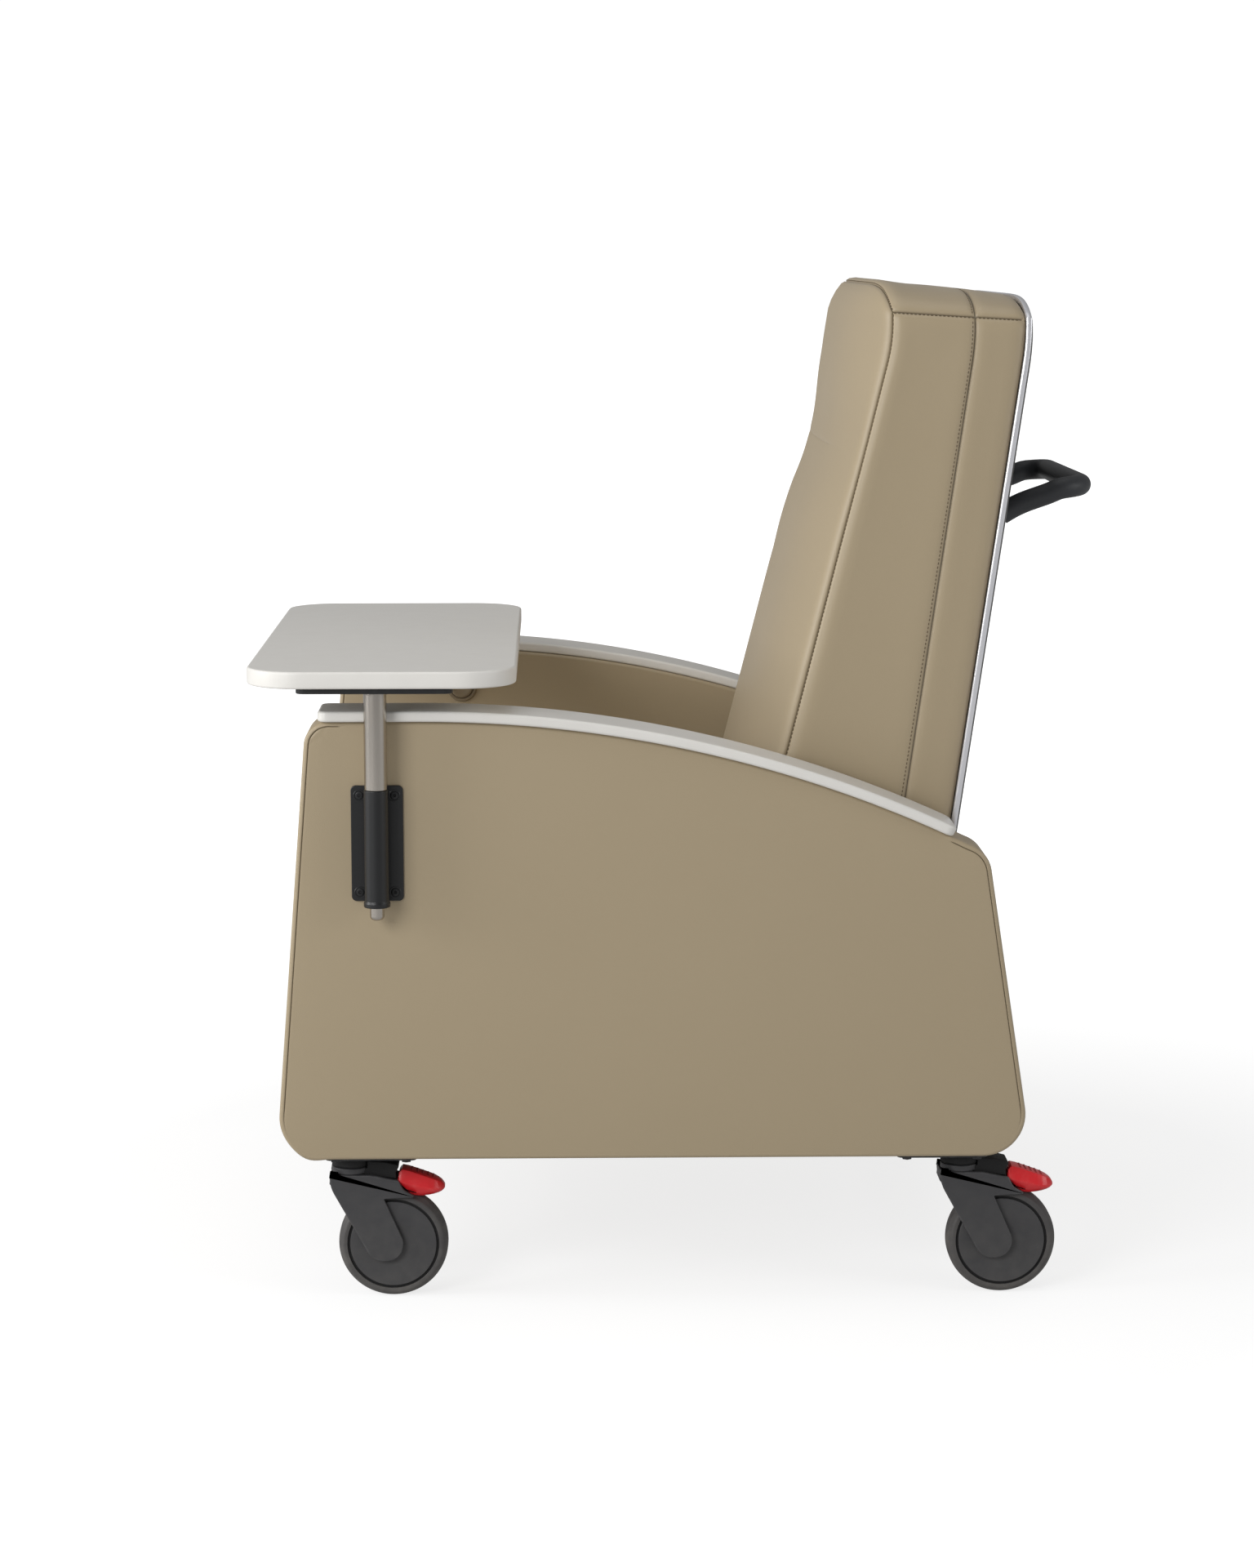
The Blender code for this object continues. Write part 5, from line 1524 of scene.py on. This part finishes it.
@dataclass
class TrayTable:
    """The tray, its plate and post, and the bracket that carries them."""

    post_x: float = 0.4085
    post_y: float = -0.338
    post_radius: float = 0.0127
    spigot_radius: float = 0.0080
    sleeve_radius: float = 0.0135
    sleeve_low: float = 0.466
    sleeve_high: float = 0.597
    spigot_end: float = 0.451
    low: Pair = (-0.303, -0.481)
    high: Pair = (0.435, -0.183)
    top_z: float = 0.731
    thickness: float = 0.019
    corner: float = 0.062
    panel_x: float = 0.3863

    def build(self, palette: Palette) -> None:
        """Makes every piece of the tray."""
        self.build_top(palette)
        self.build_post(palette)
        self.build_bracket(palette)

    def build_top(self, palette: Palette) -> None:
        """The solid-surface top and the black plate under it, with four screws."""
        outline = rounded_rectangle(self.low, self.high, self.corner)
        under = self.top_z - self.thickness
        top = Plate(outline, under, self.top_z, 0.0026, Plane.XY, 0.008, fill_rings=14).shape()
        make_piece("tray_board", top, palette["solid_surface"], "tray", ("tray_top",))
        low = (self.post_x - 0.100, self.post_y - 0.086)
        high = (self.post_x + 0.019, self.post_y + 0.086)
        plate = Plate(
            rounded_rectangle(low, high, 0.010), under - 0.0063, under - 0.0003, 0.0012, Plane.XY,
            flat_fill=True,
        ).shape()
        heads = []
        for x in (low[0] + 0.014, high[0] - 0.034):
            for y in (low[1] + 0.014, high[1] - 0.014):
                profile = [
                    (0.0, -0.0016), (0.0028, -0.0016), (0.0042, -0.0008), (0.0044, 0.0004), (0.0, 0.0004),
                ]
                heads.append(lathe(profile, (x, y, under - 0.0063), "Z", 28))
        shape = joined([plate, *heads])
        make_piece(
            "tray_support_plate", shape, palette["black_steel"], "tray", ("tray_plate",)
        )

    def build_post(self, palette: Palette) -> None:
        """The post and its thinner spigot with a domed end."""
        head = self.top_z - self.thickness - 0.0066
        shoulder = self.sleeve_high + 0.0003
        corners = [
            (0.0, head, 0.0), (self.post_radius, head, 0.0005), (self.post_radius, shoulder, 0.0008),
            (self.spigot_radius, shoulder, 0.0), (self.spigot_radius, self.spigot_end, 0.0048),
            (0.0, self.spigot_end, 0.0),
        ]
        post = lathe(rounded_path(corners, closed=False), (self.post_x, self.post_y, 0.0), "Z", 96)
        make_piece("tray_post_tube", post, palette["stainless"], "tray", ("tray_post",))

    def build_bracket(self, palette: Palette) -> None:
        """The bolted plate, the web and the sleeve with its lips, and the countersunk screws."""
        y, x = self.post_y, self.post_x
        face = self.panel_x + 0.004
        plate = Plate(
            rounded_rectangle((y - 0.029, 0.469), (y + 0.029, 0.599), 0.0055), self.panel_x, face, 0.0008,
            Plane.YZ, 0.004, flat_fill=True,
        ).shape()
        web = Plate(
            rounded_rectangle((y - 0.0085, 0.472), (y + 0.0085, 0.594), 0.002), face - 0.001, x - 0.008, 0.0005,
            Plane.YZ, 0.004, flat_fill=True,
        ).shape()
        bore = self.spigot_radius + 0.0004
        lip = self.sleeve_radius + 0.0012
        corners = [
            (bore, self.sleeve_high, 0.0), (self.sleeve_radius, self.sleeve_high, 0.0010),
            (self.sleeve_radius, self.sleeve_low + 0.007, 0.0015), (lip, self.sleeve_low + 0.0045, 0.0010),
            (lip, self.sleeve_low, 0.0010), (bore, self.sleeve_low, 0.0),
        ]
        sleeve = lathe(rounded_path(corners), (x, y, 0.0), "Z", 80)
        shape = joined([plate, web, sleeve])
        make_piece(
            "tray_bracket_body", shape, palette["black_steel"], "chassis", ("tray_bracket",)
        )
        places = [(y + dy, z) for z in (0.479, 0.588) for dy in (-0.0195, 0.0195)]
        for number, (dy, z) in enumerate(places, 1):
            ring = [(0.0062, -0.0002), (0.0066, 0.0003), (0.0062, 0.0006), (0.0052, 0.0005), (0.0050, -0.0002)]
            washer = lathe(ring, (face, dy, z), "X", 40)
            cone = [
                (0.0, 0.0000), (0.0018, 0.0000), (0.0019, 0.0011), (0.0030, 0.0012), (0.0044, 0.0008),
                (0.0048, 0.0001), (0.0040, -0.0015), (0.0, -0.0015),
            ]
            head = lathe(cone, (face, dy, z), "X", 36)
            node = f"bracket_screw_{number}"
            shape = joined([washer, head])
            make_piece(f"{node}_head", shape, palette["black_steel"], "chassis", (node,))
            # Painted shade: a near-black hexagon in each screw head stands for the shaded hollow of its socket.
            hexagon = arc_points((dy, z), 0.0018, 0.0, 2 * pi * 5 / 6, radians(60))
            socket = Plate(hexagon, face - 0.0005, face + 0.0006, 0.0001, Plane.YZ, 0.01, flat_fill=True)
            make_piece(f"{node}_socket", socket.shape(), palette.gap, "chassis")


@dataclass
class ReleaseButton:
    """The round push button on the right arm's inner face, with its bezel."""

    y: float = -0.262
    z: float = 0.620
    face: float = -0.3117
    bezel: float = 0.0195
    button: float = 0.0145

    def build(self, palette: Palette) -> None:
        """Makes the bezel and the dished button."""
        centre = (self.face, self.y, self.z)
        ring = rounded_path(
            [
                (self.button + 0.0005, 0.0, 0.0), (self.bezel, 0.0, 0.0), (self.bezel, 0.0042, 0.0016),
                (self.button + 0.0005, 0.0042, 0.0010),
            ]
        )
        bezel = lathe(ring, centre, "X", 72)
        make_piece(
            "release_bezel_ring", bezel, palette["taupe_plastic"], "chassis",
            ("release_bezel",),
        )
        dish = [(0.0, 0.0052), (0.006, 0.0054), (0.0105, 0.0060), (0.0128, 0.0063), (0.0140, 0.0056)]
        profile = [*dish, (self.button, 0.0044), (self.button, -0.0030), (0.0, -0.0030)]
        button = lathe(profile, centre, "X", 72)
        make_piece(
            "release_button_cap", button, palette["taupe_plastic"], "release",
            ("release_button",),
        )


# ---------------------------------------------------------------- casters


@dataclass
class Caster:
    """One swivel caster, drawn about its swivel axis with the floor at z = 0."""

    corner: str
    trail: float = 0.0475
    wheel_radius: float = 0.0625
    axle_z: float = 0.062107
    tyre_half: float = 0.0155
    hub_radius: float = 0.0494
    cheek_inner: float = 0.0170
    cheek_outer: float = 0.0225
    head_radius: float = 0.0222
    plate_top: float = 0.1707
    plate_low: float = 0.1667

    def where(self) -> Array:
        """The swivel axis on the floor, in the chair's datum."""
        axis = np.array(JOINTS[f"{self.corner}_caster_swivel"]["pos_m"]) - DATUM
        return np.array((axis[0], axis[1], 0.0))

    def put(
        self, piece: str, shape: Shape, material: bpy.types.Material,
        part: str, nodes: Sequence[str],
    ) -> None:
        """Makes one piece of this caster, on the body that carries it.

        Args:
            piece: The piece's name, after the corner's.
            shape: Its surface about the swivel axis.
            material: Its finish.
            part: "swivel", "wheel" or "pedal", or "" for the chassis.
            nodes: The nodes that it stands for, after the corner's name.
        """
        body = f"{self.corner}_{part}" if part else "chassis"
        replaced = [f"{self.corner}_{node}" for node in nodes]
        make_piece(f"{self.corner}_{piece}", shape.moved(self.where()), material, body, replaced)

    def build(self, palette: Palette) -> None:
        """Makes every piece of the caster."""
        self.build_mount(palette)
        self.build_fork(palette)
        self.build_wheel(palette)
        self.build_pedal(palette)

    def build_mount(self, palette: Palette) -> None:
        """The top plate with its bolts and kingpin."""
        reach = 1.0 if self.corner.startswith("front") else -1.0
        near, far = sorted((-0.0275 * reach, 0.076 * reach))
        plate = Plate(
            rounded_rectangle((-0.041, near), (0.041, far), 0.007), self.plate_low, self.plate_top, 0.0009,
            Plane.XY, flat_fill=True,
        ).shape()
        bolts = []
        for x in (-0.030, 0.030):
            for y in (-0.016 * reach, 0.064 * reach):
                hexagon = arc_points((x, y), 0.0058, 0.0, 2 * pi * 5 / 6, radians(60))
                low = self.plate_low - 0.0036
                bolt = Plate(hexagon, low, self.plate_low, 0.0004, Plane.XY, 0.01, flat_fill=True)
                bolts.append(bolt.shape())
                washer = [(0.0, -0.0009), (0.0082, -0.0009), (0.0085, 0.0002), (0.0, 0.0002)]
                bolts.append(lathe(washer, (x, y, self.plate_low), "Z", 32))
        pin = [
            (0.0, self.plate_low), (0.0050, self.plate_low), (0.0050, 0.1405), (0.0044, 0.1400), (0.0, 0.1400),
        ]
        kingpin = lathe(pin, (0.0, 0.0, 0.0), "Z", 32)
        shape = joined([plate, *bolts, kingpin])
        self.put("mount_plate", shape, palette["frame_steel"], "", ("caster_plate",))

    def leg_outline(self) -> list[Pair]:
        """The leg and hood from the side: down the front, round the axle, and back to the notch."""
        foot = self.axle_z - 0.0190
        return rounded_path(
            [
                (-0.0240, 0.1447, 0.0015), (-0.0255, 0.1340, 0.040), (0.0245, foot, 0.0200),
                (0.0700, foot, 0.0200), (0.0375, 0.1165, 0.0010), (0.0748, 0.1182, 0.0015),
                (0.0600, 0.1270, 0.0080), (0.0540, 0.1382, 0.0015), (0.0230, 0.1447, 0.0120),
            ]
        )

    def hood_outline(self) -> list[Pair]:
        """The hood between the cheeks, whose underside is a circle round the wheel."""
        clear = self.wheel_radius + 0.0032
        under = arc_points((self.trail, self.axle_z), clear, radians(138), radians(66), radians(3))
        over = [(0.0600, 0.1272), (0.0530, 0.1375), (0.0230, 0.1442), (-0.0235, 0.1442), (-0.0245, 0.1335)]
        return [*under, *over]

    def build_fork(self, palette: Palette) -> None:
        """Two cheeks, the hood, and the swivel head with a groove under its collar."""
        cheeks = []
        for low, high in ((self.cheek_inner, self.cheek_outer), (-self.cheek_outer, -self.cheek_inner)):
            cheeks.append(Plate(self.leg_outline(), low, high, 0.0016, Plane.YZ, 0.004, flat_fill=True).shape())
        inner = self.cheek_inner + 0.0003
        hood = Plate(self.hood_outline(), -inner, inner, 0.0003, Plane.YZ, 0.005, flat_fill=True).shape()
        collar = rounded_path(
            [
                (0.0, 0.1380, 0.0), (0.0205, 0.1380, 0.0), (0.0205, 0.1455, 0.0),
                (self.head_radius, 0.1455, 0.0008),
                (self.head_radius, 0.1520, 0.0012), (0.0, 0.1520, 0.0),
            ],
            closed=False,
        )
        head = lathe(collar, (0.0, 0.0, 0.0), "Z", 72)
        shape = joined([*cheeks, hood, head])
        self.put("fork_body", shape, palette["caster_plastic"], "swivel", ("fork",))
        self.build_ring(palette)
        self.build_arm(palette)
        pin = [
            (0.0, 0.0205), (0.0054, 0.0205), (0.0060, 0.0198),
            (0.0060, -0.0198), (0.0054, -0.0205), (0.0, -0.0205),
        ]
        axle = lathe(pin, (0.0, self.trail, self.axle_z), "X", 40)
        self.put("axle_pin", axle, palette["stainless"], "swivel", ("axle",))

    def build_ring(self, palette: Palette) -> None:
        """The black raceway ring between swivel head and mount plate."""
        corners = [
            (0.0060, 0.1522, 0.0), (0.0208, 0.1522, 0.0006), (0.0222, 0.1545, 0.0006), (0.0222, 0.1660, 0.0010),
            (0.0060, 0.1660, 0.0),
        ]
        ring = lathe(rounded_path(corners), (0.0, 0.0, 0.0), "Z", 64)
        self.put("swivel_ring", ring, palette.gap, "swivel", ())

    def build_arm(self, palette: Palette) -> None:
        """The black brake arm that runs over the hood from the head to the pedal."""
        outline = rounded_path(
            [
                (0.0050, 0.1440, 0.001), (0.0518, 0.1376, 0.001), (0.0512, 0.1465, 0.004),
                (0.0560, 0.1548, 0.003),
                (0.0380, 0.1590, 0.008), (0.0185, 0.1602, 0.002), (0.0185, 0.1520, 0.0),
            ]
        )
        arm = Plate(outline, -0.0160, 0.0160, 0.0016, Plane.YZ, 0.004, flat_fill=True).shape()
        self.put("brake_arm", arm, palette.gap, "swivel", ())

    def build_wheel(self, palette: Palette) -> None:
        """The tyre, a near-black ring in the groove inside it as painted shade, and the dished hub disc."""
        half, radius = self.tyre_half, self.wheel_radius
        inner = self.hub_radius + 0.0030
        corners = [
            (inner, half, 0.0005), (radius - 0.0050, half, 0.0040), (radius, half - 0.0085, 0.0075),
            (radius, -half + 0.0085, 0.0075), (radius - 0.0050, -half, 0.0040), (inner, -half, 0.0005),
        ]
        centre = (0.0, self.trail, self.axle_z)
        tyre = lathe(rounded_path(corners), centre, "X", 112)
        worn = np.hypot(tyre.points[:, 1] - self.trail, tyre.points[:, 2] - self.axle_z) > radius - 0.0012
        tyre.masks["edge"] = worn.astype(float)
        self.put("tyre_tread", tyre, palette["tyre"], "wheel", ("tyre",))
        # Painted shade: a near-black ring sunk in the groove between the tyre and the hub.
        groove = [
            (self.hub_radius - 0.001, half - 0.0024), (inner + 0.0006, half - 0.0024),
            (inner + 0.0006, -half + 0.0024), (self.hub_radius - 0.001, -half + 0.0024),
        ]
        self.put("tyre_groove_shade", lathe(groove, centre, "X", 96), palette.gap, "wheel", ())
        bore = 0.0064
        corners = [
            (bore, half - 0.0012, 0.0), (0.018, half - 0.0012, 0.002), (0.026, half - 0.0002, 0.006),
            (self.hub_radius, half - 0.0002, 0.0010), (self.hub_radius, -half + 0.0002, 0.0010),
            (0.026, -half + 0.0002, 0.006), (0.018, -half + 0.0012, 0.002), (bore, -half + 0.0012, 0.0),
        ]
        hub = lathe(rounded_path(corners), centre, "X", 112)
        self.put("hub_disc", hub, palette["caster_plastic"], "wheel", ("wheel_hub",))

    def build_pedal(self, palette: Palette) -> None:
        """The duck-billed pedal: a bill with a ridge along each side, and a tread on its back.

        A station is (place along the bill, top, ridge, belly). Its section is a closed ring through
        the top's edge, the ridge and the belly, and the half widths shrink towards the nose by a
        quarter ellipse.
        """
        stations = [
            (0.0535, 0.1400, 0.1370, 0.1345), (0.0550, 0.1460, 0.1362, 0.1300),
            (0.0585, 0.1492, 0.1350, 0.1252), (0.0650, 0.1478, 0.1335, 0.1205),
            (0.0730, 0.1452, 0.1315, 0.1180), (0.0810, 0.1424, 0.1295, 0.1176),
            (0.0880, 0.1399, 0.1279, 0.1184), (0.0940, 0.1376, 0.1266, 0.1194),
            (0.0990, 0.1353, 0.1258, 0.1206), (0.1030, 0.1328, 0.1255, 0.1220),
            (0.1055, 0.1302, 0.1258, 0.1238), (0.1066, 0.1280, 0.1266, 0.1256),
        ]
        places, top, ridge, belly = np.array(stations).T
        nose = np.sqrt(np.clip(1.0 - (np.maximum(places - 0.0880, 0.0) / 0.0196) ** 2, 0.03, 1.0))
        fine = np.linspace(places[0], places[-1], 44)
        top, ridge, belly, nose = (np.interp(fine, places, row) for row in (top, ridge, belly, nose))
        wide, upper, lower = 0.0178 * nose, 0.0128 * nose, 0.0150 * nose
        half = [
            (0.0 * wide, top), (upper * 0.8, top), (upper, top - 0.0006),
            (wide, ridge + 0.0010), (wide * 1.01, ridge),
            (wide, ridge - 0.0010), (lower, (ridge + 2 * belly) / 3), (lower * 0.7, belly), (0.0 * wide, belly),
        ]
        ring = [*half, *[(-across, z) for across, z in half[-2:0:-1]]]
        across = np.stack([a for a, _ in ring], axis=1)
        height = np.stack([z for _, z in ring], axis=1)
        along = np.broadcast_to(fine[:, None], across.shape)
        points = np.stack((across, along, height), axis=-1).reshape(-1, 3)
        count = len(ring)
        faces = [tuple(quad) for quad in grid_faces(len(fine), count, close_columns=True).tolist()]
        faces += [tuple(range(count)), tuple(range((len(fine) - 1) * count, len(fine) * count))]
        edge = np.zeros((len(fine), count))
        edge[:, 3:6] = edge[:, -5:-2] = 1.0
        bill = Shape(points, faces, {"edge": edge.ravel()})
        self.put("pedal_bill", bill, palette["pedal_red"], "pedal", ("brake_pedal",))
        self.build_tread(palette, fine, top, nose)

    def build_tread(self, palette: Palette, places: Array, top: Array, nose: Array) -> None:
        """Five low ribs across the pedal's back, in a darker red that paints the shade of its upper face.

        Args:
            palette: The materials.
            places: Stations along the bill.
            top: Height of the back at each station.
            nose: Share of the full width at each station.
        """
        ribs = []
        for y in np.linspace(0.0690, 0.0930, 5):
            z, share = np.interp(y, places, top), np.interp(y, places, nose)
            rib = rounded_rectangle((-0.0092 * share, y - 0.0011), (0.0092 * share, y + 0.0011), 0.0010)
            ribs.append(Plate(rib, z - 0.0008, z + 0.0007, 0.0004, Plane.XY, 0.004, flat_fill=True).shape())
        self.put("pedal_tread", joined(ribs), palette.tread, "pedal", ())


# ---------------------------------------------------------------- studio


@dataclass
class Studio:
    """A white floor, soft lights and the camera."""

    lens: float = 78.75
    camera_at: Triple = (4.1265, -0.144, 1.187)
    pitch_down: float = 8.88
    yaw: float = 1.21

    def build(self) -> None:
        """Makes the whole studio."""
        self.build_floor()
        self.build_world()
        self.build_light("key_softbox", (3.6, -2.6, 2.3), 2.0, 88.0)
        self.build_light("front_softbox", (0.9, -4.2, 1.8), 2.2, 92.0)
        self.build_light("top_softbox", (0.2, 0.0, 3.6), 2.6, 16.0)
        self.build_light("rear_softbox", (2.0, 3.8, 1.8), 1.8, 30.0)
        self.build_camera()
        bpy.context.scene.view_settings.view_transform = "Standard"

    def build_floor(self) -> None:
        """A pale floor that glows, less near the chair than far from it and less for the light that it sheds
        than for the camera, bright enough to run into the backdrop.
        """
        mesh = bpy.data.meshes.new("floor")
        reach = 40.0
        corners = [(-reach, -reach, 0), (reach, -reach, 0), (reach, reach, 0), (-reach, reach, 0)]
        mesh.from_pydata(corners, [], [(0, 1, 2, 3)])
        floor = bpy.data.objects.new("floor", mesh)
        bpy.context.scene.collection.objects.link(floor)
        material = bpy.data.materials.new("floor_white")
        material.use_nodes = True
        graph = Graph(material.node_tree)
        shader = material.node_tree.nodes["Principled BSDF"]
        shader.inputs["Base Color"].default_value = (0.34, 0.34, 0.34, 1.0)
        shader.inputs["Roughness"].default_value = 0.9
        shader.inputs["Specular IOR Level"].default_value = 0.05
        shader.inputs["Emission Color"].default_value = (1.0, 1.0, 1.0, 1.0)
        place = graph.add("ShaderNodeTexCoord").outputs["Object"]
        # Painted glow: the floor's emission rises away from the chair and is weaker for the light that it
        # sheds.
        away = graph.add("ShaderNodeVectorMath", {0: place}, operation="LENGTH").outputs["Value"]
        glow = graph.add("ShaderNodeMapRange", {0: away, 1: 0.8, 2: 3.0, 3: 0.76, 4: 1.2}).outputs[0]
        seen = graph.add("ShaderNodeLightPath").outputs["Is Camera Ray"]
        dim = graph.add("ShaderNodeMapRange", {0: seen, 1: 0.0, 2: 1.0, 3: 0.28, 4: 1.0}).outputs[0]
        graph.tree.links.new(graph.math("MULTIPLY", glow, dim), shader.inputs["Emission Strength"])
        mesh.materials.append(material)

    def build_world(self) -> None:
        """A white backdrop that sheds only a little light of its own."""
        world = bpy.data.worlds.new("studio")
        bpy.context.scene.world = world
        world.use_nodes = True
        graph = Graph(world.node_tree)
        ground = world.node_tree.nodes["Background"]
        seen = graph.add("ShaderNodeLightPath").outputs["Is Camera Ray"]
        strength = graph.add("ShaderNodeMapRange", {0: seen, 1: 0.0, 2: 1.0, 3: 0.26, 4: 1.05}).outputs[0]
        graph.tree.links.new(strength, ground.inputs["Strength"])
        ground.inputs["Color"].default_value = (1.0, 1.0, 1.0, 1.0)

    def build_light(self, name: str, place: Triple, size: float, power: float) -> None:
        """A square soft light turned towards the middle of the chair."""
        light = bpy.data.lights.new(name, "AREA")
        light.size = size
        light.energy = power
        obj = bpy.data.objects.new(name, light)
        obj.location = place
        obj.rotation_euler = (Vector((0.0, 0.0, 0.6)) - Vector(place)).to_track_quat("-Z", "Y").to_euler()
        bpy.context.scene.collection.objects.link(obj)

    def build_camera(self) -> None:
        """The camera, level across, looking along -X and a little down."""
        data = bpy.data.cameras.new("camera")
        data.lens = self.lens
        data.sensor_width = 36.0
        obj = bpy.data.objects.new("camera", data)
        down, turn = radians(self.pitch_down), radians(self.yaw)
        look = Vector((-cos(down) * cos(turn), cos(down) * sin(turn), -sin(down)))
        obj.location = self.camera_at
        obj.rotation_euler = look.to_track_quat("-Z", "Y").to_euler()
        bpy.context.scene.collection.objects.link(obj)
        bpy.context.scene.camera = obj


# ---------------------------------------------------------------- main


def main() -> None:
    """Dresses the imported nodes, makes the detailed pieces and sets up the studio."""
    logging.basicConfig(level=logging.INFO, format="%(message)s")
    palette = Palette()
    palette.dress_nodes()
    arm = ArmLine()
    SidePanels(arm).build(palette)
    ArmCaps(arm).build(palette)
    BackRest().build(palette)
    SeatUnit().build(palette)
    LegRest().build(palette)
    TrayTable().build(palette)
    ReleaseButton().build(palette)
    for corner in CORNERS:
        Caster(corner).build(palette)
    Studio().build()


if __name__ == "__main__":
    main()
